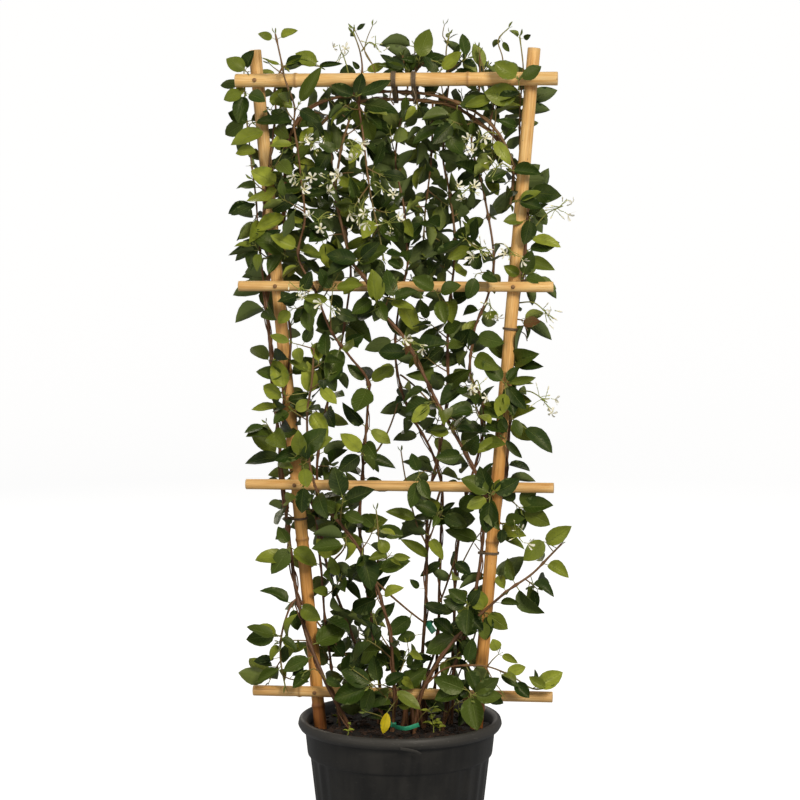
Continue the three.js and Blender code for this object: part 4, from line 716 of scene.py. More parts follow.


# Twigs set one by one that hang leaves before the canes and over the pot. Each leaf has its share of
# the way along the twig, its degrees round from +X to +Z, its length, half width and tint.
SPRIGS = [
    ("diagonal", ((-58, -26, 800), (-50, -42, 802), (-44, -50, 800)), [(1, 168, 38, 12, 0),
        (0.9, 205, 40, 12, 0.05), (0.8, 40, 30, 9, 0.03)]),
    ("diagonal", ((-30, -31, 760), (-26, -44, 752), (-24, -50, 746)), [(1, 96, 40, 11, 0.42),
        (0.8, -60, 26, 8, 0.1), (0.6, 215, 30, 9, 0.02)]),
    ("diagonal", ((-30, -31, 760), (-16, -44, 756), (-2, -50, 752)), [(1, 102, 35, 10, 0.02),
        (0.9, 18, 32, 9, 0.1), (0.6, 250, 28, 9, 0)]),
    ("centre_two", ((-84, -26, 712), (-82, -42, 740), (-78, -52, 766)), [(1, 8, 34, 7, 0.42),
        (0.9, 118, 28, 9, 0.1), (0.75, 174, 32, 7, 0.4), (0.5, -20, 30, 9, 0)]),
    ("centre_two", ((-104, -31, 765), (-110, -44, 762), (-118, -50, 758)), [(1, 66, 28, 9, 0),
        (0.9, 195, 30, 9, 0.05), (0.6, 285, 28, 9, 0.02)]),
    ("centre_one", ((62, 12, 740), (58, -10, 748), (52, -34, 756), (50, -42, 762)),
        [(1, 150, 30, 10, 0.03), (0.95, 22, 28, 9, 0.08), (0.8, -75, 30, 9, 0.2)]),
    ("centre_four", ((114, 3, 782), (108, -14, 786), (98, -32, 784)), [(1, 252, 28, 9, 0.03),
        (0.9, -22, 22, 7, 0.1), (0.8, 120, 24, 8, 0)]),
    ("centre_left", ((-110, -31, 548), (-114, -40, 548), (-117, -46, 546)), [(1, 282, 24, 10, 0.5),
        (0.7, 80, 22, 7, 0.05)]),
    ("centre_left", ((-106, -32, 526), (-112, -42, 525), (-116, -47, 522)), [(1, 268, 32, 11, 0)]),
    ("centre_left", ((-72, -30, 470), (-70, -42, 486), (-66, -50, 504)), [(1, 104, 37, 14, 0.02),
        (0.98, 26, 42, 11, 0.03), (0.6, 150, 26, 8, 0.1), (0.5, -20, 26, 8, 0.02)]),
    ("centre_one", ((40, 15, 530), (34, -8, 536), (28, -30, 534), (26, -38, 530)), [(1, 258, 34, 9, 0.02),
        (0.9, 300, 28, 8, 0.12), (0.8, 110, 24, 8, 0)]),
    ("diagonal", ((110, -24, 492), (114, -38, 502), (119, -46, 512)), [(1, 152, 38, 13, 0.2),
        (0.95, 202, 27, 9, 0.5), (1, 30, 36, 11, 0), (0.9, 264, 40, 13, 0.02), (0.85, 108, 38, 13, 0),
        (1, 62, 17, 6, 0.46)]),
    ("diagonal", ((66, -1, 270), (74, -26, 274), (86, -44, 268), (96, -52, 260)), [(1, 35, 36, 11, 0.15),
        (0.97, -78, 42, 14, 0.12), (0.85, 160, 40, 12, 0.03), (0.8, 202, 36, 11, 0.02),
        (1, 4, 34, 10, 0.2)]),
    ("centre_left", ((-5, -32, 262), (-22, -46, 270), (-34, -52, 268)), [(1, 200, 42, 14, 0.03),
        (0.95, 152, 40, 13, 0), (0.8, 98, 34, 10, 0.05), (0.9, 252, 34, 10, 0.12), (0.5, 30, 30, 9, 0)]),
    ("left_outer", ((-51, 0, 1009), (-53, -18, 1000), (-50, -34, 1003)), [(1, 25, 42, 8, 0.1),
        (0.9, 152, 30, 9, 0.03), (0.8, 76, 28, 9, 0)]),
    ("right_outer", ((151, 8, 1004), (151, -10, 1002), (150, -30, 1009), (150, -38, 1021)),
        [(1, 142, 32, 11, 0.34), (1, 32, 28, 9, 0.03), (0.45, 174, 40, 14, 0.36)]),
    ("left_outer", ((-197, 2, 1016), (-194, -14, 1010), (-190, -28, 1008)), [(1, 196, 24, 9, 0.34),
        (1, -22, 24, 9, 0.1), (0.8, 258, 34, 11, 0)]),
    ("left_outer", ((-197, 2, 1040), (-193, -12, 1036), (-189, -18, 1034)), [(1, 146, 27, 11, 0.3),
        (0.9, 66, 24, 9, 0.02)]),
    ("centre_two", ((-127, -36, 985), (-124, -42, 988), (-121, -45, 992)), [(1, 58, 50, 9, 0.2),
        (0.8, 165, 30, 9, 0.3), (0.7, -30, 30, 9, 0)]),
    ("left_outer", ((-143, 0, 446), (-140, -14, 442), (-137, -22, 438)), [(1, -32, 36, 12, 0.42),
        (0.9, 236, 38, 13, 0), (0.8, 120, 24, 8, 0.1)]),
    ("right_outer", ((128, 12, 500), (142, 2, 497), (154, -8, 488)), [(1, 62, 30, 10, 0.2),
        (0.95, 8, 40, 12, 0.03), (1, -26, 36, 12, 0.34), (0.8, -72, 30, 9, 0), (0.7, 122, 26, 9, 0.1)]),
    ("right_outer", ((57, 9, 994), (54, -2, 1006), (50, -4, 1034)), [(1, 42, 32, 9, 0.5),
        (0.98, 130, 26, 8, 0.05)]),
    ("right_outer", ((116, 9, 956), (120, -6, 980), (120, -14, 1000)), [(1, 193, 34, 8, 0.4),
        (0.9, 20, 28, 8, 0.05), (0.8, 95, 18, 5, 0.5)]),
    ("left_outer", ((-147, 2, 876), (-144, -12, 866), (-139, -20, 857)), [(1, 205, 40, 9, 0.6)]),
    ("left_outer", ((-150, 13, 830), (-146, -2, 818), (-142, -20, 806)), [(1, 142, 50, 13, 0),
        (0.8, 233, 31, 9, 0.12)]),
    ("left_outer", ((-192, 1, 965), (-188, -10, 970), (-184, -15, 972)), [(1, 2, 46, 6, 0.05),
        (0.9, 150, 26, 11, 0.03)]),
    ("left_twiner", ((-158, 10, 985), (-162, -4, 989), (-165, -12, 989)), [(1, -32, 32, 8, 0),
        (0.8, 60, 26, 7, 0.4)]),
    ("centre_left", ((-106, -27, 690), (-120, -27, 694), (-133, -24, 697)), [(1, 160, 25, 6, 0.45),
        (0.8, 285, 20, 9, 0.45), (0.6, 60, 24, 8, 0.1)]),
    ("centre_two", ((-95, -29, 740), (-114, -31, 742), (-132, -26, 740)), [(1, 225, 21, 9, 0.5),
        (0.85, 130, 24, 9, 0.05), (0.5, 280, 26, 9, 0.03)]),
    ("centre_left", ((-114, -27, 600), (-124, -27, 606), (-134, -24, 612)), [(1, 24, 23, 8, 0.54),
        (1, 215, 24, 9, 0.1)]),
    ("centre_left", ((-112, -31, 548), (-120, -36, 552), (-128, -38, 555)), [(1, 42, 49, 14, 0.02),
        (0.9, 95, 34, 10, 0.4)]),
    ("right_outer", ((148, 17, 905), (140, 4, 910), (138, -14, 912)), [(1, -5, 34, 9, 0.05),
        (0.9, 200, 30, 9, 0.03)]),
    ("right_outer", ((158, 12, 872), (150, 0, 876), (146, -15, 874)), [(1, -14, 28, 10, 0.08),
        (0.95, 22, 28, 8, 0.42)]),
    ("right_outer", ((158, 8, 840), (160, -4, 850), (164, -15, 855)), [(1, 258, 31, 11, 0.1),
        (0.7, 180, 26, 9, 0.3)]),
    ("right_outer", ((153, 10, 785), (154, -2, 782), (154, -15, 780)), [(1, 70, 31, 11, 0.15),
        (0.9, -10, 26, 7, 0.1), (0.8, 150, 22, 7, 0.35)]),
    ("right_outer", ((139, 10, 640), (134, -6, 646), (133, -20, 648)), [(1, 134, 34, 11, 0.05),
        (0.95, 50, 24, 8, 0.1), (0.95, 12, 35, 6, 0.25), (0.9, 2, 31, 5, 0.5), (0.85, -49, 38, 9, 0.05),
        (0.8, -73, 37, 11, 0.05)]),
    ("right_outer", ((136, 10, 574), (132, -6, 578), (131, -17, 580)), [(1, 92, 23, 8, 0.1),
        (0.9, 205, 36, 8, 0.42), (0.8, -46, 30, 6, 0.1)]),
    ("right_outer", ((123, 13, 470), (128, 0, 470), (131, -15, 469)), [(1, 265, 18, 8, 0.08),
        (0.8, 20, 26, 8, 0.1)]),
    ("right_low", ((90, -22, 344), (98, -30, 350), (104, -34, 354)), [(1, 285, 23, 8, 0.25),
        (0.9, 100, 20, 7, 0.05)]),
    ("right_low", ((113, -33, 292), (120, -37, 302), (128, -39, 310)), [(1, 110, 16, 8, 0.55),
        (1, -20, 22, 5, 0.55)]),
    ("left_twiner", ((-126, -4, 1046), (-112, -8, 1043), (-99, -12, 1041)), [(1, 150, 30, 11, 0.4),
        (0.95, 176, 27, 5, 0.04), (0.9, 4, 30, 4, 0.05)]),
    ("centre_two", ((-142, -38, 1042), (-141, -39, 1040), (-140, -39, 1038)), [(1, 34, 22, 6, 0),
        (0.9, 157, 24, 3.4, 0.4), (0.5, 20, 22, 3, 0.3)]),
    ("centre_three", ((8, 21, 1022), (10, 6, 1030), (11, -9, 1036)), [(1, 149, 35, 9, 0),
        (0.96, 166, 33, 5, 0.02), (0.9, 200, 24, 8, 0.05), (0.8, 75, 20, 6, 0.1)]),
    ("centre_three", ((22, 8, 1040), (24, 0, 1045), (24, -7, 1048)), [(1, 70, 36, 12, 0.24),
        (0.9, 165, 18, 4, 0.02), (0.9, 20, 26, 7, 0.02)]),
    ("right_low", ((84, -22, 338), (88, -34, 356), (90, -42, 372)), [(1, 140, 27, 9, 0.14),
        (1, 268, 33, 13, 0.12), (0.97, 161, 28, 8, 0.04), (1, -6, 15, 6, 0.5), (0.97, 58, 25, 9, 0.08),
        (0.8, -47, 25, 9, 0.06)]),
    ("centre_left", ((-24, -40, 425), (-16, -44, 428), (-8, -46, 433)), [(1, 123, 20, 8, 0.4),
        (1, 186, 22, 6, 0.34), (1, -3, 22, 5, 0.44), (0.97, -27, 15, 3, 0.5)]),
]
SPRIG_LEAN = (-0.1, -0.3, -0.2)  # y of each leaf's heading, in turn
SPRIG_TURN = 2.4  # radians from leaf to leaf of the way that its face leans


def tries_at(place):
    """How many second shoots or pairs a stem tries to grow there."""
    for *box, tries in FULLNESS:
        if within(place[0], place[2], *box):
            return tries
    return THIN_GROWTH


def bent_twig(place, direction, draw):
    """A short twig that leaves a stem sideways and turns up towards the light."""
    away = sideways(direction, draw(0, math.tau))
    heading = unit(away + direction * draw(0.2, 0.9))
    length = draw(*SIDE_SHOOT["length"])
    lift = vec(0, 0, draw(-0.25, 0.45))
    points = [place]
    for _ in range(3):
        heading = unit(heading + lift)
        points.append(points[-1] + heading * length / 3)
    return through(points, TWIG_STEP)


def hides_stem(points):
    """True if points hang before a stem that runs in front of the canopy, or in a clear space."""
    x, y, z = points.T
    for *box, front in SECOND_OPEN:
        if ((y < front) & within(x, z, *box)).any():
            return True
    out = points[:, None, ::2] - shown_rods[None, :, ::2]
    hides = (np.hypot(out[..., 0], out[..., 1]) < SHOWN) & (points[:, None, 1] < shown_rods[None, :, 1])
    return bool(hides.any())


def add_pair(node, place, direction, thick, pair, lengths, draw):
    """Adds up to two second leaves, each of which keeps its room, its bounds and what is shown."""
    for hand in (1, -1):
        for k in range(TRIES):
            shrink = 1 - SHRINK_STEP * k
            leaf = try_leaf(node, place, direction, thick, pair, hand, lengths, shrink, draw, SECOND_RULE)
            if not is_clear(leaf, SECOND_ROOM):
                continue
            x, _, z = leaf["samples"].T
            inside = x.min() > FAR_LEFT and x.max() < FAR_RIGHT and z.max() < FAR_TOP
            if inside and not hides_stem(leaf["samples"]):
                leaves.append(leaf)
                break


def grow_second(shoot, node):
    """Adds leaves to the plant and returns a shoot's side shoots."""
    twigs = []
    draw = Draws(SIDE_SHOOT["seed"] + shoot["seed"])
    lengths = lengths_along(shoot["line"])
    s = shoot["from"] + 8
    while s < lengths[-1]:
        place, direction = at(shoot["line"], lengths, s)
        for _ in range(math.floor(tries_at(place) + draw.next())):
            if draw.next() > SIDE_SHOOT["odds"]:
                add_pair(node, place, direction, shoot["thick"][1], 1, SECOND_LEAF, draw)
                continue
            twig = bent_twig(place, direction, draw)
            if in_open_space(twig[3:]) or (rods.distance(twig[3:]) < SIDE_SHOOT["room"]).any():
                continue
            twigs.append(twig)
            heading = unit(twig[-1] - twig[-2])
            for k, share in enumerate(SIDE_SHOOT["pairs_at"]):
                spot = twig[int(share * (len(twig) - 1))]
                add_pair(node, spot, heading, TWIG_RADIUS, k, SECOND_LEAF, draw)
        s += SIDE_SHOOT["spacing"] * draw(0.7, 1.3)
    return twigs


def grow_tuft(node, lengths, path, number):
    """Adds a tuft's leaves, in pairs from its tip down, and returns its twig."""
    draw = Draws(TUFT["seed"] + number)
    twig = through(path, TWIG_STEP)
    passed = lengths_along(twig)
    s, pair = passed[-1] - 1, 0
    while s > TUFT["bare"]:
        place, direction = at(twig, passed, s)
        add_pair(node, place, direction, TWIG_RADIUS, pair, lengths, draw)
        s -= TUFT["spacing"] * draw(0.8, 1.2)
        pair += 1
    return twig


def hang_leaf(node, root, along, look, length, half, tint):
    leaves.append({**leaf_of(node, root, along, look, length, half, HUNG_BEND, 0), "tint": tint})


def grow_sprig(node, path, blades):
    """Hangs a sprig's leaves and returns its twig."""
    twig = through(path, TWIG_STEP)
    for k, (share, degrees, length, half, tint) in enumerate(blades):
        angle, lean = math.radians(degrees), SPRIG_TURN * k
        along = unit(vec(math.cos(angle), SPRIG_LEAN[k % 3], math.sin(angle)))
        look = vec(0.3 * math.cos(lean), -1, 0.35 + 0.3 * math.sin(lean))
        hang_leaf(node, twig[int(share * (len(twig) - 1))], along, look, length, half, tint)
    return twig


# The loose ends of ties: route, half width and half thickness.
TIE_ENDS = {
    "tie_green_lower": [(((-5, -36, 216), (1, -50, 217), (13, -57, 217), (22, -59, 220), (30, -59, 223)),
        2.6, 0.4)],
    "tie_green_upper": [(((38, 30, 334), (33, 21, 338), (37, 12, 334), (43, 8, 327)), 4.2, 0.4)],
    "tie_right_upper": [(((148, 8, 716), (156, 0, 719), (161, -6, 713)), 0.7, 0.7),
        (((148, 9, 713), (157, 4, 708), (160, -2, 700)), 0.7, 0.7)],
    "tie_right_lower": [(((108, -10, 433), (102, -18, 438), (96, -18, 446)), 0.7, 0.7)],
    "tie_left_lower": [(((-136, -9, 474), (-142, -16, 480), (-150, -15, 477)), 0.7, 0.7)],
    "tie_arch_left": [(((-6, -30, 1012), (-9, -33, 1002), (-4, -34, 992)), 0.9, 0.9)],
    "tie_arch_right": [(((19, -30, 1012), (23, -33, 1001), (20, -34, 994)), 0.9, 0.9)],
}
shown_rods = np.concatenate([through(one["path"], SHOWN) for shoots in PLANT.values() for one in shoots])
x, y, z = shown_rods.T
in_arch = (z > ARCH["z"]) & (abs(x) < ARCH["x"]) & (y < ARCH["y"])
shown_rods = shown_rods[((y < IN_FRONT) & (z > POT_HEIGHT + 30)) | in_arch]
for stem, root, along, look, length, half, tint in LONE_LEAVES:
    hang_leaf("stem_" + stem, vec(*root), unit(vec(*along)), vec(*look), length, half, tint)
twigs = {node: [] for node in PLANT}
for stem, path, blades in SPRIGS:
    twigs["stem_" + stem].append(grow_sprig("stem_" + stem, path, blades))
tape_ends = [through(TIE_ENDS[name][0][0], SHOWN) for name in ("tie_green_lower", "tie_green_upper")]
shown_leaves = [leaf["samples"] for leaf in leaves if "tint" in leaf]
shown_rods = np.concatenate([shown_rods] + tape_ends + shown_leaves)
for number, (stem, lengths, path) in enumerate(TUFTS):
    twigs["stem_" + stem].append(grow_tuft("stem_" + stem, lengths, path, number))
for node, shoots in PLANT.items():
    for shoot in shoots:
        twigs[node] += grow_second(shoot, node)


# ---------------------------------------------------------------- helpers for trees and meshes
class Tree:
    """Adds nodes to a node tree. A node's inputs are given as values or as other nodes' sockets."""

    def __init__(self, tree):
        self.tree = tree

    def add(self, kind, inputs=None, **settings):
        made = self.tree.nodes.new(kind)
        for key, value in settings.items():
            setattr(made, key, value)
        for key, value in (inputs or {}).items():
            socket = made.inputs[key]
            for source in value if isinstance(value, list) else [value]:
                if isinstance(source, bpy.types.NodeSocket):
                    self.tree.links.new(source, socket)
                else:
                    socket.default_value = source
        return made

    def out(self, kind, inputs=None, **settings):
        """The first enabled output of a new node."""
        made = self.add(kind, inputs, **settings)
        return next(socket for socket in made.outputs if socket.enabled)

    def attribute(self, name, kind):
        return self.out("GeometryNodeInputNamedAttribute", {"Name": name}, data_type=kind)

    def math(self, operation, a, b=0.0, clamp=False):
        return self.out("ShaderNodeMath", {0: a, 1: b}, operation=operation, use_clamp=clamp)

    def plus(self, a, b, clamp=False):
        return self.math("ADD", a, b, clamp)

    def minus(self, a, b):
        return self.math("SUBTRACT", a, b)

    def times(self, a, b):
        return self.math("MULTIPLY", a, b)

    def parts(self, vector):
        """A vector's X, Y and Z."""
        return self.add("ShaderNodeSeparateXYZ", {0: vector}).outputs

    def place(self):
        return self.add("ShaderNodeTexCoord").outputs["Object"]

    def field(self, name):
        """A mesh attribute's value, in a material."""
        return self.add("ShaderNodeAttribute", attribute_name=name).outputs["Fac"]

    def finished(self, geometry, material):
        return self.out("GeometryNodeSetMaterial", {"Geometry": geometry, "Material": material})

    def strewn(self, points, shapes, inputs):
        """Instances of a collection's shapes on points, made real."""
        given = {"Collection": shapes, "Separate Children": True, "Reset Children": True}
        given = {"Points": points, "Instance": self.out("GeometryNodeCollectionInfo", given), **inputs}
        made = self.out("GeometryNodeInstanceOnPoints", {"Pick Instance": True, **given})
        return self.out("GeometryNodeRealizeInstances", {"Geometry": made})


def geometry_tree(name, inputs):
    """A geometry tree with named inputs, its builder and its input node."""
    group = bpy.data.node_groups.new(name, "GeometryNodeTree")
    face = group.interface
    face.new_socket("Geometry", in_out="INPUT", socket_type="NodeSocketGeometry")
    for label, kind, value in inputs:
        socket = face.new_socket(label, in_out="INPUT", socket_type=f"NodeSocket{kind}")
        if value is not None:
            socket.default_value = value
    face.new_socket("Geometry", in_out="OUTPUT", socket_type="NodeSocketGeometry")
    tree = Tree(group)
    return tree, tree.add("NodeGroupInput").outputs


def finish_tree(tree, geometry):
    tree.add("NodeGroupOutput", {"Geometry": geometry})
    return tree.tree


def placed(name, data):
    """A new object in the scene."""
    made = bpy.data.objects.new(name, data)
    bpy.context.scene.collection.objects.link(made)
    return made


def evaluated(source):
    graph = bpy.context.evaluated_depsgraph_get()
    return bpy.data.meshes.new_from_object(source.evaluated_get(graph), depsgraph=graph)


def baked(name, mesh, group, values):
    """The plain mesh that a geometry tree makes of a mesh, as a piece."""
    source = placed(name, mesh)
    modifier = source.modifiers.new("growth", "NODES")
    modifier.node_group = group
    items = group.interface.items_tree
    sockets = {item.name: item.identifier for item in items if item.in_out == "INPUT"}
    for label, value in values.items():
        modifier[sockets[label]] = value
    mesh = evaluated(source)
    bpy.data.objects.remove(source)
    mesh.name = name
    return placed(name, mesh)


def new_mesh(name, points, faces, edges=()):
    """A mesh in metres from points in millimetres."""
    mesh = bpy.data.meshes.new(name)
    mesh.from_pydata((np.asarray(points, float) * MM).tolist(), list(edges), list(faces))
    mesh.update()
    return mesh


def set_attribute(mesh, name, kind, values, domain="POINT"):
    field = {"FLOAT": "value", "INT": "value", "BOOLEAN": "value", "FLOAT_VECTOR": "vector"}
    layer = mesh.attributes.new(name, kind, domain)
    layer.data.foreach_set(field[kind], np.asarray(values).ravel())


def set_uv(mesh, name, corner_values):
    layer = mesh.uv_layers.new(name=name)
    layer.data.foreach_set("uv", np.asarray(corner_values, float).ravel())


def piece_of(name, mesh, material, sharp_degrees=None):
    """A smooth piece from a mesh, of one material, with sharp edges past an angle."""
    mesh.materials.append(material)
    mesh.shade_smooth()
    if sharp_degrees:
        mesh.set_sharp_from_angle(angle=math.radians(sharp_degrees))
    return placed(name, mesh)


# ---------------------------------------------------------------- finishes
def new_material(name):
    material = bpy.data.materials.new(name)
    material.use_nodes = True
    tree = Tree(material.node_tree)
    return material, tree, material.node_tree.nodes["Principled BSDF"]


def ramp(tree, factor, stops):
    """A colour ramp through (position, colour) stops."""
    made = tree.add("ShaderNodeValToRGB", {"Fac": factor})
    elements = made.color_ramp.elements
    elements[0].position, elements[0].color = stops[0][0], (*stops[0][1], 1)
    elements[1].position, elements[1].color = stops[-1][0], (*stops[-1][1], 1)
    for position, colour in stops[1:-1]:
        elements.new(position).color = (*colour, 1)
    return made.outputs["Color"]


def mixed(tree, factor, a, b):
    made = tree.add("ShaderNodeMix", data_type="RGBA")
    for key, value in (("Factor_Float", factor), ("A_Color", a), ("B_Color", b)):
        socket = next(s for s in made.inputs if s.identifier == key)
        if isinstance(value, bpy.types.NodeSocket):
            tree.tree.links.new(value, socket)
        else:
            socket.default_value = value if key == "Factor_Float" else (*value, 1)
    return next(s for s in made.outputs if s.identifier == "Result_Color")


def spread(tree, value, low, high, to_low=0.0, to_high=1.0):
    """Maps low..high to to_low..to_high, held at the ends."""
    inputs = {"Value": value, "From Min": low, "From Max": high, "To Min": to_low, "To Max": to_high}
    return tree.out("ShaderNodeMapRange", inputs)


def speckle(tree, scale, detail=3.0, stretch=(1, 1, 1), roughness=0.55):
    """Noise on the object's own coordinates. scale is in features a metre."""
    where = tree.out("ShaderNodeMapping", {"Vector": tree.place(), "Scale": stretch})
    inputs = {"Vector": where, "Scale": scale, "Detail": detail, "Roughness": roughness}
    return tree.out("ShaderNodeTexNoise", inputs)


def wire(tree, socket, shader, name):
    tree.tree.links.new(socket, shader.inputs[name])


def bump(tree, shader, height, distance, strength):
    inputs = {"Height": height, "Distance": distance, "Strength": strength}
    wire(tree, tree.out("ShaderNodeBump", inputs), shader, "Normal")


def coats(tree, colour, *layers):
    """A colour with layers on it, each an amount and its own colour."""
    for amount, tone in layers:
        colour = mixed(tree, amount, colour, tone)
    return colour


# Colours by age, along a bloom and across the cane's grain.
GROWN_LEAF = [
    (0, (0.009, 0.023, 0.004)), (0.4, (0.018, 0.041, 0.006)), (0.75, (0.036, 0.067, 0.008)),
    (1, (0.075, 0.112, 0.015)),
]
YOUNG_LEAF = [
    (0.1, (0.065, 0.10, 0.014)), (0.4, (0.18, 0.22, 0.024)), (0.68, (0.35, 0.40, 0.048)),
    (0.85, (0.72, 0.58, 0.02)), (1, (0.13, 0.055, 0.022)),
]
BARK_AGES = [
    (0, (0.115, 0.050, 0.020)), (0.35, (0.168, 0.072, 0.026)), (0.6, (0.19, 0.105, 0.034)),
    (0.8, (0.22, 0.18, 0.045)), (1, (0.27, 0.32, 0.055)),
]
BLOOM_TONES = [
    (0, (0.20, 0.30, 0.07)), (0.16, (0.40, 0.46, 0.16)), (0.4, (0.72, 0.68, 0.36)),
    (0.54, (0.84, 0.78, 0.40)), (0.68, (0.90, 0.88, 0.70)), (1, (0.93, 0.92, 0.80)),
]
CANE_TONES = [(0.3, (0.70, 0.40, 0.13)), (0.5, (0.89, 0.575, 0.225)), (0.72, (0.95, 0.72, 0.37))]


def leaf_finish():
    """Dark blades, fresh green where young, yellow where spent, paler beneath, with a fine midrib."""
    material, tree, shader = new_material("jasmine_leaf")
    u, v = tree.parts(tree.add("ShaderNodeUVMap", uv_map="blade").outputs[0])[:2]
    under = tree.math("GREATER_THAN", u, 1.5)
    t = tree.minus(u, tree.times(under, 2.0))
    across = tree.math("ABSOLUTE", tree.minus(v, 0.5))
    midrib = spread(tree, across, 0.008, 0.03, 1.0, 0.0)
    phase = tree.minus(tree.times(t, 9.0), tree.times(across, 4.4))
    wave = tree.math("COSINE", tree.times(phase, math.tau))
    veins = tree.times(spread(tree, wave, 0.86, 1.0), spread(tree, across, 0.25, 0.48, 1.0, 0.0))
    tint, shade, blotch = tree.field("leaf_tint"), tree.field("leaf_shade"), speckle(tree, 70.0)
    grown, young = ramp(tree, shade, GROWN_LEAF), ramp(tree, tint, YOUNG_LEAF)
    colour = mixed(tree, spread(tree, tint, 0.08, 0.25), grown, young)
    colour = mixed(tree, spread(tree, blotch, 0.42, 0.72, 0.0, 0.5), colour, (0.062, 0.084, 0.012))
    pale = mixed(tree, 0.5, colour, (0.17, 0.22, 0.075))
    lines = tree.plus(tree.times(midrib, 0.34), tree.times(veins, 0.13), clamp=True)
    colour = coats(tree, colour, (under, pale), (lines, (0.20, 0.26, 0.06)))
    wire(tree, colour, shader, "Base Color")
    gloss = tree.plus(spread(tree, blotch, 0.3, 0.7, 0.0, 0.12), spread(tree, shade, 0, 1, 0.40, 0.28))
    wire(tree, tree.plus(gloss, tree.times(under, 0.2)), shader, "Roughness")
    height = tree.plus(tree.times(midrib, -1.0), tree.times(veins, -0.5))
    height = tree.plus(height, tree.times(speckle(tree, 700.0, 2.0), 0.35))
    bump(tree, shader, height, 0.0006, 0.7)
    shader.inputs["Specular IOR Level"].default_value = 0.29
    shader.inputs["Specular Tint"].default_value = (1.0, 0.98, 0.7, 1)
    return material


def bark_finish():
    """Red-brown bark on old stems, turning green towards the young tips."""
    material, tree, shader = new_material("jasmine_bark")
    grain = speckle(tree, 260.0, 4.0, (1, 1, 0.25))
    age = tree.plus(tree.field("age"), tree.times(tree.minus(grain, 0.5), 0.3), clamp=True)
    fleck = spread(tree, speckle(tree, 900.0, 2.0), 0.58, 0.72, 0.0, 0.5)
    colour = mixed(tree, fleck, ramp(tree, age, BARK_AGES), (0.27, 0.18, 0.09))
    wire(tree, colour, shader, "Base Color")
    shader.inputs["Roughness"].default_value = 0.55
    bump(tree, shader, grain, 0.0006, 0.7)
    return material


def petal_finish():
    """White petals, cream at the throat, on a pale green tube."""
    material, tree, shader = new_material("jasmine_petal")
    u, v = tree.parts(tree.add("ShaderNodeUVMap", uv_map="petal").outputs[0])[:2]
    wire(tree, ramp(tree, spread(tree, u, -1.0, 1.0), BLOOM_TONES), shader, "Base Color")
    shader.inputs["Roughness"].default_value = 0.5
    shader.inputs["Subsurface Weight"].default_value = 0.15
    shader.inputs["Subsurface Radius"].default_value = (0.003, 0.003, 0.002)
    bump(tree, shader, tree.math("SINE", tree.times(v, 40.0)), 0.0001, 0.4)
    return material


def cane_finish():
    """Orange-tan cane: long fine grain, darker at the foot, with hairline splits and dark joints."""
    material, tree, shader = new_material("cane")
    where = tree.add("ShaderNodeAttribute", attribute_name="grain").outputs["Vector"]

    def grain(scale, length, detail=4.0):
        """Noise drawn out along the cane."""
        long = tree.out("ShaderNodeMapping", {"Vector": where, "Scale": (1, 1, length)})
        return tree.out("ShaderNodeTexNoise", {"Vector": long, "Scale": scale, "Detail": detail})

    fine, broad, split = grain(1100.0, 0.03), grain(130.0, 0.10), grain(420.0, 0.012, 2.0)
    patch, aged, height = speckle(tree, 16.0, 3.0), tree.field("aged"), tree.parts(tree.place())["Z"]
    orange = tree.times(aged, spread(tree, height, 0.35, 0.9, 0.62, 0.08))
    weather = tree.times(aged, spread(tree, grain(240.0, 0.05), 0.53, 0.63))
    weather = tree.times(weather, spread(tree, height, 0.35, 0.95, 0.75, 0.2))
    stain = tree.times(aged, spread(tree, speckle(tree, 11.0, 4.0), 0.46, 0.6))
    stain = tree.times(stain, spread(tree, height, 0.25, 0.85, 0.65, 0.2))
    foot = tree.plus(height, spread(tree, patch, 0.3, 0.7, -0.006, 0.006))
    foot = tree.times(aged, spread(tree, foot, 0.236, 0.246, 0.85, 0.0))
    colour = coats(
        tree, ramp(tree, fine, CANE_TONES),
        (spread(tree, broad, 0.5, 0.72, 0.0, 0.65), (0.54, 0.24, 0.055)),
        (spread(tree, patch, 0.5, 0.75, 0.0, 0.5), (0.60, 0.29, 0.075)),
        (spread(tree, split, 0.66, 0.72, 0.0, 0.6), (0.20, 0.08, 0.025)),
        (spread(tree, speckle(tree, 380.0, 3.0, (1, 1, 0.5)), 0.67, 0.74, 0.0, 0.75), (0.14, 0.06, 0.025)),
        (orange, (0.86, 0.385, 0.07)), (weather, (0.26, 0.105, 0.028)), (stain, (0.55, 0.23, 0.05)),
        (foot, (0.30, 0.095, 0.026)), (tree.times(tree.field("joint"), 0.6), (0.20, 0.085, 0.03)),
        (tree.field("cut"), (0.72, 0.50, 0.24)),
    )
    wire(tree, colour, shader, "Base Color")
    wire(tree, spread(tree, fine, 0.3, 0.7, 0.36, 0.55), shader, "Roughness")
    shader.inputs["Specular IOR Level"].default_value = 0.35
    bump(tree, shader, fine, 0.0004, 0.5)
    return material


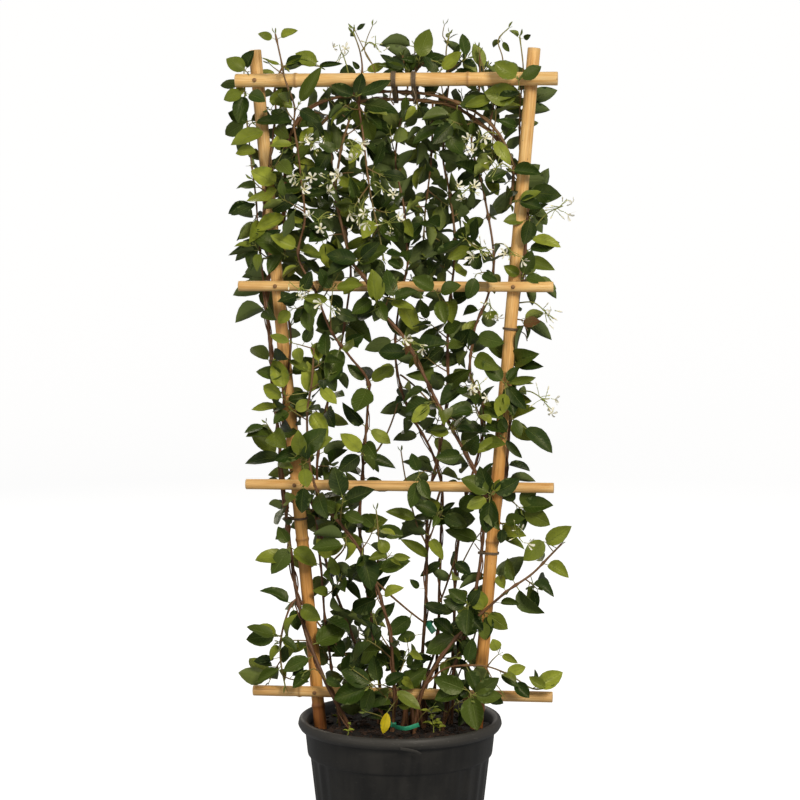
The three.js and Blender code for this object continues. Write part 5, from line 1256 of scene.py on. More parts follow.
def pot_finish():
    """Matte charcoal plastic with faint upright streaks and dust, scuffed round the rim, and a painted
    highlight with dust that lightens the whole rim band.
    """
    material, tree, shader = new_material("pot_plastic")
    dust, streak = speckle(tree, 20.0, 5.0), speckle(tree, 70.0, 4.0, (1, 1, 0.12))
    scuff = speckle(tree, 150.0, 6.0, (1, 1, 2.5), 0.7)
    # the rim band: it takes more scuffs, and an even lighter coat that is dust and a painted highlight
    rim = spread(tree, tree.parts(tree.place())["Z"], 0.204, 0.212)
    worn = tree.times(spread(tree, scuff, 0.58, 0.72), spread(tree, rim, 0.0, 1.0, 0.12, 0.6))
    bare, streaked = (0.0075, 0.0072, 0.0068), (0.0165, 0.0156, 0.0142)
    colour = coats(
        tree, mixed(tree, spread(tree, streak, 0.4, 0.7), bare, streaked),
        (spread(tree, dust, 0.45, 0.75, 0.0, 0.55), (0.034, 0.032, 0.028)),
        # painted highlight with dust: the whole rim band lighter; then the scuffs
        (tree.times(rim, 0.75), (0.048, 0.045, 0.040)), (worn, (0.12, 0.115, 0.105)),
    )
    wire(tree, colour, shader, "Base Color")
    wire(tree, spread(tree, dust, 0.3, 0.7, 0.44, 0.6), shader, "Roughness")
    shader.inputs["Specular IOR Level"].default_value = 0.4
    bump(tree, shader, speckle(tree, 1500.0, 2.0), 0.00015, 0.5)
    return material


def soil_finish(name, *colours):
    material, tree, shader = new_material(name)
    grain = ramp(tree, speckle(tree, 240.0, 5.0), list(zip((0.35, 0.6, 0.75), colours)))
    wire(tree, grain, shader, "Base Color")
    shader.inputs["Roughness"].default_value = 0.95
    bump(tree, shader, speckle(tree, 700.0, 4.0), 0.0012, 1.0)
    return material


def plain_finish(name, colour, roughness, metallic=0.0, scale=400.0, depth=0.0002):
    """A tie's, a tape's or a nail's finish, mottled and slightly uneven."""
    material, tree, shader = new_material(name)
    mottle = speckle(tree, scale, 3.0)
    darker = tuple(c * 0.55 for c in colour)
    wire(tree, mixed(tree, spread(tree, mottle, 0.3, 0.7), darker, colour), shader, "Base Color")
    wire(tree, spread(tree, mottle, 0.3, 0.7, roughness - 0.08, roughness + 0.1), shader, "Roughness")
    shader.inputs["Metallic"].default_value = metallic
    bump(tree, shader, mottle, depth, 0.6)
    return material


LEAF, BARK, PETAL = leaf_finish(), bark_finish(), petal_finish()
CANE, POT_PLASTIC = cane_finish(), pot_finish()
SOIL = soil_finish("potting_soil", (0.004, 0.003, 0.002), (0.011, 0.007, 0.004), (0.03, 0.017, 0.01))
CHIP = soil_finish("bark_chip", (0.012, 0.006, 0.003), (0.04, 0.018, 0.009), (0.10, 0.055, 0.03))
TWINE_FIBRE = plain_finish("tie_rubber", (0.19, 0.135, 0.08), 0.6)
TAPE = plain_finish("green_tape", (0.04, 0.40, 0.22), 0.35, scale=120.0)
STEEL = plain_finish("nail_steel", (0.36, 0.20, 0.09), 0.5, 0.4)


# ---------------------------------------------------------------- leaf, bloom and bud shapes
def sheet_shape(name, uv_map, rows, columns, place, thickness, under_shift):
    """A thin closed sheet that shares its margin between its upper and its lower side.

    place(t, v) gives a point of the upper side, with t from 0 to 1 along and v from -1 to 1
    across. The first and the last row are one point each.
    """
    points, faces, uvs, margin = [], [], [], set()
    upper, lower = {}, {}
    for i, t in enumerate(rows):
        at_tip = i in (0, len(rows) - 1)
        for j, v in enumerate(columns):
            if at_tip and j:
                upper[i, j], lower[i, j] = upper[i, 0], lower[i, 0]
                continue
            x, y, z = place(t, 0 if at_tip else v)
            upper[i, j] = lower[i, j] = len(points)
            points.append([x, y, z])
            if at_tip or abs(v) == 1:
                margin.add(upper[i, j])
            else:
                lower[i, j] = len(points)
                points.append([x, y, z - thickness * (1 - v * v)])
    for side, shift in ((upper, 0), (lower, under_shift)):
        for i in range(len(rows) - 1):
            for j in range(len(columns) - 1):
                face = []
                for a, b in [(i, j), (i + 1, j), (i + 1, j + 1), (i, j + 1)][:: -1 if shift else 1]:
                    if side[a, b] not in face:
                        face.append(side[a, b])
                        uvs.append((rows[a] + shift, (columns[b] + 1) / 2))
                faces.append(face)
    mesh = bpy.data.meshes.new(name)
    mesh.from_pydata(points, [], faces)
    set_uv(mesh, uv_map, uvs)
    sharp = [a in margin and b in margin for a, b in (edge.vertices for edge in mesh.edges)]
    set_attribute(mesh, "sharp_edge", "BOOLEAN", sharp, "EDGE")
    set_attribute(mesh, "t", "FLOAT", [min(max(p[0], 0), 1) for p in points])
    return mesh


def leaf_outline(t):
    return max(0.0, 2.66 * t**0.62 * (1 - t) ** 0.8 * (1 - 0.2 * t**6))


LEAF_ROWS = [0, 0.07, 0.2, 0.36, 0.53, 0.71, 0.88, 1]
LEAF_COLUMNS = [-1, -0.55, 0, 0.55, 1]
LEAF_THICKNESS = 0.013
LEAF_SHAPE_COUNT = 12


def leaf_shape(number):
    """A blade one long, and one to each side of its midrib."""
    draw = Draws(SEEDS["blade"] + number)
    fold, cup = draw(0.04, 0.36), draw(-0.05, 0.06)
    wave, phase = draw(0.01, 0.04), draw(0, 6)
    sweep, twist = draw(-0.2, 0.2), draw(-0.16, 0.16)
    curl = draw(-0.1, 0.07)

    def place(t, v):
        wide = leaf_outline(t)
        across = abs(v) * wide
        lift = fold * across + cup * across * across + twist * t * v * wide
        lift += wave * math.sin(9 * t + phase + (1.5 if v > 0 else 0)) * across
        lift += curl * math.sin(math.pi * t)
        return [t, v * wide + sweep * t * (1 - t) * 2, lift]

    return sheet_shape(f"leaf_shape_{number}", "blade", LEAF_ROWS, LEAF_COLUMNS, place, LEAF_THICKNESS, 2)


PETAL_ROWS = [0, 0.12, 0.3, 0.5, 0.7, 0.86, 0.96, 1]
PETAL_COLUMNS = [-1, 0, 1]
PETAL_WIDTH = 0.21
THROAT = 0.09


def petal_shape(name, droop):
    """One of five petals: narrow at the throat, broad and slanting at the tip, swept to one side."""

    def place(t, v):
        wide = PETAL_WIDTH * (0.28 + 0.95 * t) * min(1, 7.5 * (1 - t) + 0.12 * (v > 0)) ** 0.6
        wide *= 1 if t < 1 else 0
        sweep = 0.34 * t * t
        slant = -0.1 * t * v
        out = THROAT + (1 - THROAT) * t + slant
        lift = 0.05 * math.sin(math.pi * t) - droop * t * t + 0.13 * v * wide * 2
        return [out, sweep + v * wide, lift]

    return sheet_shape(name, "petal", PETAL_ROWS, PETAL_COLUMNS, place, 0.03, 0)


def lathe_shape(name, profile, sides, twist=0.0, lobes=0, lobe_depth=0.0):
    """A closed round shape about Z from (radius, z, uv) rows, the first and last on the axis."""
    points, faces, along, rings = [], [], [], []
    for r, z, u in profile:
        count = sides if r else 1
        rings.append([len(points) + k % count for k in range(sides)])
        for k, turn in enumerate(turns_of(sides)[:count]):
            a = turn + twist * z
            q = r * (1 - lobe_depth * math.sin(lobes * math.pi * k / sides) ** 2)
            points.append([q * math.cos(a), q * math.sin(a), z])
            along.append(u)
    for low, high in zip(rings[:-1], rings[1:]):
        for k in range(sides):
            j = (k + 1) % sides
            loop = [low[k], low[j], high[j], high[k]]
            faces.append([v for i, v in enumerate(loop) if v not in loop[:i]])
    mesh = bpy.data.meshes.new(name)
    mesh.from_pydata(points, [], faces)
    set_uv(mesh, "petal", [(along[v], 0.5) for face in faces for v in face])
    set_attribute(mesh, "t", "FLOAT", [0.0] * len(points))
    return mesh


# (radius, height, place along the bloom) of the tube behind the petals, and of a bud
BLOOM_TUBE = [
    (0, -0.86, -1), (0.075, -0.84, -1), (0.105, -0.76, -0.9), (0.06, -0.66, -0.7),
    (0.055, -0.45, -0.5), (0.085, -0.25, -0.3), (0.075, -0.08, -0.1), (0.11, 0.02, 0.05),
    (0.04, 0.0, 0.08), (0, -0.03, 0.1),
]
BUD = [
    (0, -0.5, -1), (0.07, -0.48, -1), (0.1, -0.4, -0.9), (0.055, -0.3, -0.6), (0.06, -0.05, -0.3),
    (0.1, 0.2, 0.1), (0.13, 0.4, 0.5), (0.095, 0.6, 0.9), (0.035, 0.78, 1), (0, 0.82, 1),
]


def pinwheel_tree():
    """Turns one petal round into a bloom, and sets it on its tube."""
    inputs = [("Tube", "Object", None), ("Petals", "Int", 5), ("Finish", "Material", None)]
    tree, given = geometry_tree("pinwheel", inputs)
    ring = tree.out("GeometryNodeMeshCircle", {"Vertices": given["Petals"], "Radius": 0.0001})
    index = tree.out("GeometryNodeInputIndex")
    step = tree.math("DIVIDE", math.tau, given["Petals"])
    turn = tree.out("ShaderNodeCombineXYZ", {"Z": tree.times(index, step)})
    inputs = {"Points": ring, "Instance": given["Geometry"], "Rotation": turn}
    petals = tree.out("GeometryNodeInstanceOnPoints", inputs)
    tube = tree.add("GeometryNodeObjectInfo", {"Object": given["Tube"]}).outputs["Geometry"]
    joined = tree.out("GeometryNodeJoinGeometry", {"Geometry": [petals, tube]})
    real = tree.out("GeometryNodeRealizeInstances", {"Geometry": joined})
    return finish_tree(tree, tree.finished(real, given["Finish"]))


def shape_store(name, meshes):
    """A collection outside the scene, for shapes that trees pick from in order."""
    store = bpy.data.collections.new(name)
    for i, mesh in enumerate(meshes):
        mesh.shade_smooth()
        store.objects.link(bpy.data.objects.new(f"{name}_{i}", mesh))
    return store


def bloom_mesh(name, droop):
    petal = petal_shape(name, droop)
    petal.shade_smooth()
    tube = bpy.data.objects.new("bloom_tube", lathe_shape("bloom_tube", BLOOM_TUBE, 8))
    tube.data.shade_smooth()
    made = baked(name, petal, pinwheel_tree(), {"Tube": tube, "Petals": 5, "Finish": PETAL})
    mesh = made.data
    bpy.data.objects.remove(made)
    return mesh


LEAF_SHAPES = shape_store("leaf_shape", [leaf_shape(i) for i in range(LEAF_SHAPE_COUNT)])
DROOPS = {"bloom_open": 0.0, "bloom_reflexed": 0.35, "bloom_half_open": -0.75}
SMALL_BUD = [(r * 0.9, z * 0.65, u * 0.5 - 0.45) for r, z, u in BUD]
BLOOM_SHAPES = shape_store("bloom_shape", [
    *(bloom_mesh(name, droop) for name, droop in DROOPS.items()),
    lathe_shape("bud_long", BUD, 10, 2.4, 10, 0.25), lathe_shape("bud_short", SMALL_BUD, 8),
])
OPEN_BLOOM, REFLEXED_BLOOM, HALF_BLOOM, LONG_BUD, SHORT_BUD = range(5)


# ---------------------------------------------------------------- the growing tree
def growth_tree():
    """Skins the stems' lines and hangs a shape on each seat."""
    inputs = [("Shapes", "Collection", None), ("Stem sides", "Int", 7)]
    inputs += [("Shape finish", "Material", None), ("Stem finish", "Material", None)]
    tree, given = geometry_tree("jasmine growth", inputs)
    split = {"Geometry": given["Geometry"], "Selection": tree.attribute("is_seat", "BOOLEAN")}
    parts = tree.add("GeometryNodeSeparateGeometry", split, domain="POINT")
    along, normal, extent = (
        tree.attribute(f"seat_{field}", "FLOAT_VECTOR") for field in ("along", "normal", "size")
    )
    axes = {"Primary Axis": along, "Secondary Axis": normal}
    turned = tree.out("FunctionNodeAxesToRotation", axes, primary_axis="X", secondary_axis="Z")
    shape = tree.attribute("seat_shape", "INT")
    look = {"Instance Index": shape, "Rotation": turned, "Scale": extent}
    real = tree.strewn(parts.outputs["Selection"], given["Shapes"], look)
    t = tree.attribute("t", "FLOAT")
    drop = tree.times(tree.attribute("seat_bend", "FLOAT"), tree.parts(extent)["X"])
    drop = tree.times(drop, tree.times(t, t))
    down = {0: normal, "Scale": tree.times(drop, -1.0)}
    down = tree.add("ShaderNodeVectorMath", down, operation="SCALE").outputs[0]
    bent = tree.out("GeometryNodeSetPosition", {"Geometry": real, "Offset": down})

    line = tree.out("GeometryNodeMeshToCurve", {"Mesh": parts.outputs["Inverted"]})
    section = {"Resolution": given["Stem sides"], "Radius": 1.0}
    section = tree.out("GeometryNodeCurvePrimitiveCircle", section)
    thick = tree.attribute("thick", "FLOAT")
    skin = {"Curve": line, "Profile Curve": section, "Scale": thick, "Fill Caps": True}
    skin = tree.out("GeometryNodeCurveToMesh", skin)
    skin = tree.out("GeometryNodeSetShadeSmooth", {"Geometry": skin})
    both = [tree.finished(skin, given["Stem finish"]), tree.finished(bent, given["Shape finish"])]
    return finish_tree(tree, tree.out("GeometryNodeJoinGeometry", {"Geometry": both}))


GROWTH = growth_tree()
SEAT_FIELDS = {
    "is_seat": "BOOLEAN", "seat_along": "FLOAT_VECTOR", "seat_normal": "FLOAT_VECTOR",
    "seat_size": "FLOAT_VECTOR", "seat_bend": "FLOAT", "seat_shape": "INT",
    "leaf_tint": "FLOAT", "leaf_shade": "FLOAT", "thick": "FLOAT", "age": "FLOAT",
}


class Lines:
    """Gathers stems' lines and the seats of leaves or blooms, all in millimetres."""

    def __init__(self):
        self.points, self.edges = [], []
        self.fields = {name: [] for name in SEAT_FIELDS}

    def _add(self, point, values):
        self.points.append(point)
        for name, kind in SEAT_FIELDS.items():
            empty = (0, 0, 0) if kind == "FLOAT_VECTOR" else 0
            self.fields[name].append(values.get(name, empty))

    def stem(self, line, thick, age):
        """thick and age are one value a point, thick in millimetres."""
        first = len(self.points)
        for point, radius, old in zip(line, thick, age):
            self._add(point, {"thick": radius * MM, "age": old})
        self.edges += [(first + i, first + i + 1) for i in range(len(line) - 1)]

    def seat(self, point, along, normal, extent, bend=0.0, shape=0, tint=0.0, shade=0.0):
        self._add(point, {
            "is_seat": True, "seat_along": along, "seat_normal": normal, "leaf_tint": tint,
            "seat_size": np.asarray(extent) * MM, "seat_bend": bend, "seat_shape": shape,
            "leaf_shade": shade,
        })

    def piece(self, name, shapes, sides, shape_finish, stem_finish):
        mesh = new_mesh(name, self.points, [], self.edges)
        for field, kind in SEAT_FIELDS.items():
            set_attribute(mesh, field, kind, self.fields[field])
        values = {"Shapes": shapes, "Stem sides": sides, "Shape finish": shape_finish}
        return baked(name, mesh, GROWTH, {**values, "Stem finish": stem_finish})


def keep(piece, slot, *nodes):
    """Rides on the root and stands for CAD nodes, which it hides. slot is not used."""
    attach(piece, "root")
    if nodes:
        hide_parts(*nodes)
    return piece


FINE_STEP = 5
KNUCKLE = {"swell": 0.28, "half": 3.5, "reach": 6}  # where leaves leave a stem
LEAF_STALK = {"radius": 0.7, "full_from": 42, "lift": 0.6, "into_blade": 0.05}
SLENDER = 0.86  # of the solids' stems
WANDER = {"main": 1.0, "shoot": 1.7, "wave": 0.022}  # off the hand-set route
# Thin strands that climb round the main stems: from and to, as shares of the stem, the length of
# a turn, and the turn that each starts at.
STRANDS = {
    "stem_left_outer": [(0.02, 0.97, 74, 0), (0.18, 0.8, 118, 2)],
    "stem_right_outer": [(0.05, 0.97, 84, 1), (0.55, 0.95, 60, 4)],
    "stem_diagonal": [(0.06, 0.85, 96, 0.5)], "stem_right_low": [(0.03, 0.6, 62, 2)],
    "stem_centre_left": [(0.05, 0.7, 88, 3)], "stem_centre_one": [(0.24, 0.7, 92, 2)],
    "stem_centre_two": [(0.04, 0.5, 80, 1)], "stem_centre_three": [(0.02, 0.6, 85, 0)],
    "stem_centre_four": [(0.02, 0.62, 76, 1)],
}
STRAND = {"thick": 1.05, "gap": 0.5, "near_band": 14}
# Thin bare tips over the top rail, and old short stems: stem, radius at foot and tip, and route.
EXTRA_STEMS = [
    ("left_outer", (1.0, 0.5), ((-30, 2, 1010), (-32, -4, 1038), (-46, -8, 1064), (-57, -10, 1087))),
    ("left_outer", (0.8, 0.45), ((-33, -4, 1042), (-44, -2, 1058), (-42, 2, 1076), (-35, 0, 1092))),
    ("left_outer", (1.0, 0.5), ((114, -8, 1004), (104, -12, 1039), (98, -10, 1064))),
    ("right_outer", (0.8, 0.45), ((61, 2, 1070), (54, 0, 1078), (56, -2, 1092))),
    ("centre_one", (3.4, 2.0), ((8, -8, 200), (10, -10, 240), (20, 6, 296))),
    ("centre_one", (3.0, 1.8), ((20, -12, 200), (16, -8, 250), (25, 14, 300))),
    ("centre_three", (2.8, 1.6), ((30, 0, 200), (26, 2, 244), (42, 30, 300))),
    ("centre_left", (2.6, 1.6), ((2, -18, 200), (8, -18, 236), (-6, -28, 290))),
    ("left_mid", (2.4, 1.5), ((-30, 10, 200), (-28, 12, 230), (-46, 24, 262))),
    ("centre_three", (1.6, 1.3), ((51, 30, 509), (45, 26, 492), (37, 22, 468), (33, 17, 450))),
    ("centre_four", (1.5, 1.2), ((71, 19, 432), (64, 24, 405), (56, 28, 384), (48, 31, 362))),
    ("centre_one", (1.2, 0.8), ((31, 17, 440), (22, 10, 462), (14, 4, 490), (8, 0, 520), (2, -6, 560))),
    ("centre_four", (1.2, 0.7), ((68, 26, 392), (80, 18, 420), (92, 10, 442), (104, 4, 458))),
    ("left_outer", (1.4, 1.0), ((-128, -8, 366), (-112, -2, 345), (-90, 4, 318), (-66, 8, 290),
        (-50, 10, 262))),
    ("centre_left", (1.6, 1.2), ((-30, -27, 398), (-14, -16, 380), (4, 0, 362), (29, 17, 338))),
    ("centre_four", (1.3, 1.1), ((100, 14, 348), (92, 14, 318), (80, 18, 286), (68, 28, 256))),
    ("centre_three", (1.3, 0.9), ((-2, 18, 655), (18, 10, 640), (42, 8, 618), (66, 6, 600), (92, 6, 586))),
    ("centre_two", (1.4, 1.0), ((-48, 8, 540), (-30, 12, 560), (-14, 14, 590), (-4, 16, 622))),
]
TIP_LEAF = {"length": (5, 10), "half": 0.2, "splay": 0.26}
AGES = {"main": (0.08, 0.5, 1.6), "shoot": (0.32, 0.62, 1.3), "twig": (0.5, 0.45, 1)}


def band_distance(points):
    places = np.array([centre for band in bands for centre, _ in band["rounds"]])
    return sizes(points[:, None] - places[None]).min(1)


def wander(line, amount, seed):
    """A line moved a little off its route, except at its ends and where a band holds it."""
    ease = np.minimum(1, band_distance(line) / STRAND["near_band"]) ** 2
    ease[0] = 0
    out = line.copy()
    for i, point in enumerate(line):
        place = Vector(point * WANDER["wave"]) + Vector((seed, 0, 0))
        out[i] += np.array(noise.noise_vector(place)) * amount * ease[i]
    return out


def strand_line(line, radius, turn_length, first_turn):
    """A line that winds round a stem, and lies close to it where a band holds both."""
    lengths = lengths_along(line)
    tangent = np.gradient(line, axis=0)
    tangent /= sizes(tangent)[:, None]
    side = np.cross(tangent, NEAR_Y)
    side /= sizes(side)[:, None]
    other = np.cross(side, tangent)
    close = np.minimum(1, band_distance(line) / STRAND["near_band"])
    off = (radius + STRAND["thick"] + STRAND["gap"] * np.sin(lengths / 31)) * (0.3 + 0.7 * close)
    turn = first_turn + math.tau * lengths / turn_length
    return line + off[:, None] * (np.cos(turn)[:, None] * side + np.sin(turn)[:, None] * other)


def rough_thick(line, thick, knuckles, draw):
    """A stem's radius at each point: it tapers, is uneven, and swells where leaves leave it."""
    lengths = lengths_along(line)
    radius = thick[0] + (thick[1] - thick[0]) * lengths / lengths[-1]
    radius = SLENDER * radius * np.array([draw(0.92, 1.08) for _ in line])
    for spot in knuckles:
        gap = sizes(line - spot)
        radius = radius * (1 + KNUCKLE["swell"] * np.exp(-((gap / KNUCKLE["half"]) ** 2)))
    return radius


OUTER_X = 95  # past this, to either side, more leaves are young and light: new growth, and also painted light on the outer leaves that the light reaches and shines through
YOUNG = {"short": 34, "odds": 0.2, "long_odds": 0.09, "outer": 1.9, "half_grown": 0.16}


def leaf_look(index, leaf):
    """A leaf's tint, from 0, grown, to 1, new, its shade from 0 to 1, and its shape."""
    draw = Draws(SEEDS["look"] + index)
    young_odds = YOUNG["odds"] if leaf["length"] < YOUNG["short"] else YOUNG["long_odds"]
    # painted light as well as growth: out at the sides more leaves get the light, fresh tint
    if abs(leaf["root"][0]) > OUTER_X:
        young_odds *= YOUNG["outer"]
    pick = draw.next()
    if pick < young_odds:
        tint = draw(0.35, 0.68)
    elif pick < young_odds + YOUNG["half_grown"]:
        tint = draw(0.12, 0.35)
    else:
        tint = draw(0, 0.08)
    return leaf.get("tint", tint), draw.next(), int(draw.next() * LEAF_SHAPE_COUNT)


def seat_tip(lines, line, draw):
    """A shoot's end: two small leaves that still clasp each other."""
    along = unit(line[-1] - line[-2])
    side = unit(np.cross(along, [0.2, 1, 0.1]))
    for hand in (1, -1):
        length = draw(*TIP_LEAF["length"])
        heading = unit(along + side * TIP_LEAF["splay"] * hand * draw(0.6, 1.6))
        normal = unit(np.cross(np.cross(heading, side * hand), heading))
        extent = (length, length * TIP_LEAF["half"], length)
        lines.seat(line[-1], heading, normal, extent, -0.1, int(draw.next() * 4), draw(0.25, 0.6))


def age_along(line, kind):
    """How green each point of a stem is, from 0, old, to 1."""
    start, grown, power = AGES[kind]
    return start + grown * np.linspace(0, 1, len(line)) ** power


def dress_stem(node, shoots):
    """A stem with its shoots, strands, twigs, stalks and leaves."""
    lines = Lines()
    own = [(i, leaf) for i, leaf in enumerate(leaves) if leaf["node"] == node]
    roots = np.array([leaf["root"] for _, leaf in own])
    spine = []
    for k, shoot in enumerate(shoots):
        draw = Draws(SEEDS["stem"] + shoot["seed"])
        fine = wander(through(shoot["path"], FINE_STEP), WANDER["shoot" if k else "main"], shoot["seed"])
        gaps = sizes(roots[:, None] - fine[None]).min(1)
        radius = rough_thick(fine, shoot["thick"], roots[gaps < KNUCKLE["reach"]], draw)
        age = age_along(fine, "shoot" if k else "main")
        lines.stem(fine, radius, age)
        seat_tip(lines, fine, draw)
        spine.append(fine)
        for start, end, turn_length, first_turn in STRANDS.get(node, []) if k == 0 else []:
            rows = slice(int(start * len(fine)), int(end * len(fine)))
            strand = strand_line(fine[rows], radius[rows], turn_length, first_turn)
            lines.stem(strand, np.linspace(STRAND["thick"], 0.6, len(strand)), age[rows] + 0.15)
    thick, thin = SIDE_SHOOT["thick"]
    for twig in twigs[node]:
        share = np.linspace(0, 1, len(twig))
        lines.stem(twig, thick + (thin - thick) * share, age_along(twig, "twig"))
        seat_tip(lines, twig, draw)
        spine.append(twig)
    for stem, (thick, thin), path in EXTRA_STEMS:
        if "stem_" + stem == node:
            line = wander(through(path, FINE_STEP), WANDER["shoot"], thick)
            lines.stem(line, np.linspace(thick, thin, len(line)), np.full(len(line), 1.02 - 0.3 * thick))
            spine.append(line)
            if thin < 1:
                seat_tip(lines, line, draw)
    spine = np.concatenate(spine)
    for i, leaf in own:
        tint, shade, shape = leaf_look(i, leaf)
        start = leaf["root"] + leaf["along"] * (PETIOLE + leaf["thick"])
        nearest = spine[((spine - leaf["root"]) ** 2).sum(1).argmin()]
        inner = start + leaf["along"] * leaf["length"] * LEAF_STALK["into_blade"]
        middle = (nearest + start) / 2 + leaf["normal"] * LEAF_STALK["lift"]
        thin = LEAF_STALK["radius"] * min(1, leaf["length"] / LEAF_STALK["full_from"])
        radii = [thin, thin, thin * 0.9, thin * 0.4]
        lines.stem([nearest, middle, start, inner], radii, [0.75, 0.9, 1, 1])
        extent = (leaf["length"], leaf["half"] * (0.86 + 0.2 * shade), leaf["length"])
        lines.seat(start, leaf["along"], leaf["normal"], extent, leaf["bend"], shape, tint, shade)
    name = node.replace("stem_", "") + "_shoots"
    return keep(lines.piece(name, LEAF_SHAPES, 6, LEAF, BARK), "plant", node)


for node, shoots in PLANT.items():
    dress_stem(node, shoots)


STALK = {"thick": (1.0, 0.7), "fork": 0.5, "bud": 0.4, "step": 4}
BLOOM = {"tube": 0.84, "extent": (0.68, 0.86)}  # as shares of its radius
BUDS = {"a_fork": 2, "long_odds": 0.55, "reach": (7, 13), "length": (5, 9)}
BLOOM_MIX = [*[HALF_BLOOM] * 3, *[REFLEXED_BLOOM] * 2, OPEN_BLOOM, *[LONG_BUD] * 2]


def dress_spray(spray, number):
    """Stalks, blooms and buds of one spray."""
    draw = Draws(SEEDS["spray"] + number)
    lines = Lines()
    start, middle, end = spray["stalk"]
    stalk = through([start, middle, end], STALK["step"])
    count = len(stalk)
    lines.stem(stalk, np.linspace(*STALK["thick"], count), np.linspace(0.9, 1, count))
    for i, bloom in enumerate(spray["blooms"]):
        tilt = vec(draw(-1.1, 1.1), 0, draw(-1.3, 0.6))
        facing, radius = unit(bloom["facing"] + tilt), bloom["radius"]
        side = unit(np.cross(facing, [0.1, 0, 1]))
        spin = draw(0, math.tau)
        side = side * math.cos(spin) + np.cross(facing, side) * math.sin(spin)
        fork = middle + (end - middle) * FORKS[i]
        back = bloom["place"] - facing * radius * BLOOM["tube"]
        neck = through([fork, (fork + back) / 2 + vec(0, 0, -1), back], STALK["step"])
        lines.stem(neck, [STALK["fork"]] * len(neck), [1] * len(neck))
        shape = BLOOM_MIX[int(draw.next() * len(BLOOM_MIX))]
        extent = (radius * draw(*BLOOM["extent"]),) * 3
        lines.seat(bloom["place"], side, facing, extent, shape=shape)
        for _ in range(BUDS["a_fork"]):
            outward = unit(facing * 0.6 + vec(*(draw(-1, 1) for _ in range(3))))
            reach = draw(*BUDS["reach"])
            tip = fork + outward * reach
            neck = [fork, fork + outward * reach * 0.6 + vec(0, 0, 0.6), tip]
            lines.stem(neck, [STALK["bud"]] * 3, [1] * 3)
            cross = unit(np.cross(outward, [0.3, 1, 0.2]))
            scale = draw(*BUDS["length"])
            shape = LONG_BUD if draw.next() < BUDS["long_odds"] else SHORT_BUD
            lines.seat(tip + outward * scale * 0.4, cross, outward, (scale,) * 3, shape=shape)
    name = f"spray_{number:02d}"
    return keep(lines.piece(name, BLOOM_SHAPES, 5, PETAL, BARK), "bloom", f"flower_{name}")


for number, spray in enumerate(sprays, 1):
    dress_spray(spray, number)


# ---------------------------------------------------------------- canes, nails and ties
CANE_SIDES = 28
CANE_AGED = {"upright": 1.0, "rail": 0.2}  # stained by soil and rain
JOINT = {"spacing": 215, "swell": 0.9, "half": 2.6, "waist": 0.25}
ROWS_BY_JOINT = (-4, -2.6, -1.4, -0.5, 0.5, 1.4, 2.6, 4)
# the cut end of a cane: (share of the radius, depth, how much it shows cut fibre)
CUT_END = [(0, 1.6, 1), (0.2, 1.4, 1), (0.3, 0.3, 1), (0.62, 0, 1), (0.9, 0.1, 1), (1, 0.7, 0.3)]


def ring_points(centre, side, other, radii):
    count = len(radii)
    turns = math.tau * np.arange(count) / count
    return centre + radii[:, None] * (np.cos(turns)[:, None] * side + np.sin(turns)[:, None] * other)


def tube_faces(ring_count, sides, first=0):
    faces = []
    for k in range(ring_count - 1):
        a, b = first + k * sides, first + (k + 1) * sides
        for i in range(sides):
            j = (i + 1) % sides
            faces.append((a + i, a + j, b + j, b + i))
    return faces


def cane_piece(node, start, end, radius, first_joint, seed):
    total = size(end - start)
    along = (end - start) / total
    standing = abs(along[2]) > 0.9
    side = unit(vec(1, 0, 0) - along * along[0]) if standing else vec(0, 0, 1)
    other = np.cross(along, side)
    joints = np.arange(first_joint, total - 15, JOINT["spacing"])
    near = [j + d for j in joints for d in ROWS_BY_JOINT]
    middle = np.unique(np.round(np.concatenate([np.arange(4, total - 4, 5.0), near]), 2))
    rows = [(depth, share, cut) for share, depth, cut in CUT_END]
    rows += [(s, 1, 0) for s in middle]
    rows += [(total - depth, share, cut) for share, depth, cut in reversed(CUT_END)]
    points, joint_at, cut_at, grain = [], [], [], []
    turns = math.tau * np.arange(CANE_SIDES) / CANE_SIDES
    for s, share, cut in rows:
        nearest = np.abs(joints - s).min() if len(joints) else 99
        swell = JOINT["swell"] * math.exp(-((nearest / JOINT["half"]) ** 2))
        waist = JOINT["waist"] * math.exp(-(((nearest - 5) / 3) ** 2))
        spots = [(math.cos(a) * 0.9, math.sin(a) * 0.9, s * 0.02 + seed) for a in turns]
        uneven = np.array([noise.noise(spot) for spot in spots])
        radii = (radius + swell - waist + 0.35 * uneven) * max(share, 1e-4)
        points.append(ring_points(start + along * s, side, other, radii))
        joint_at += [math.exp(-((nearest / 1.6) ** 2))] * CANE_SIDES
        cut_at += [cut] * CANE_SIDES
        local = np.stack([np.cos(turns) * radius, np.sin(turns) * radius, turns * 0 + s], 1)
        grain.append(local * MM + seed)
    mesh = new_mesh(node, np.concatenate(points), tube_faces(len(rows), CANE_SIDES))
    aged = [CANE_AGED["upright" if standing else "rail"]] * len(cut_at)
    for field, values in (("joint", joint_at), ("cut", cut_at), ("aged", aged)):
        set_attribute(mesh, field, "FLOAT", values)
    set_attribute(mesh, "grain", "FLOAT_VECTOR", np.concatenate(grain))
    weld(mesh)
    return keep(piece_of(f"{node}_cane", mesh, CANE, sharp_degrees=50), "cane", node)


def weld(mesh, distance=0.02):
    """Closes poles and seams."""
    made = bmesh.new()
    made.from_mesh(mesh)
    bmesh.ops.remove_doubles(made, verts=made.verts, dist=distance * MM)
    bmesh.ops.recalc_face_normals(made, faces=made.faces)
    made.to_mesh(mesh)
    made.free()


for hand, upright in UPRIGHTS.items():
    ends = upright_ends(upright)
    cane_piece(f"upright_{hand}", *ends, UPRIGHT_RADIUS, UPRIGHT_JOINT, 1 + (hand == "left"))
for k, rail in enumerate(RAILS):
    cane_piece(rail["name"], *rail_ends(rail), rail["radius"], rail["joint"], 3 + k)

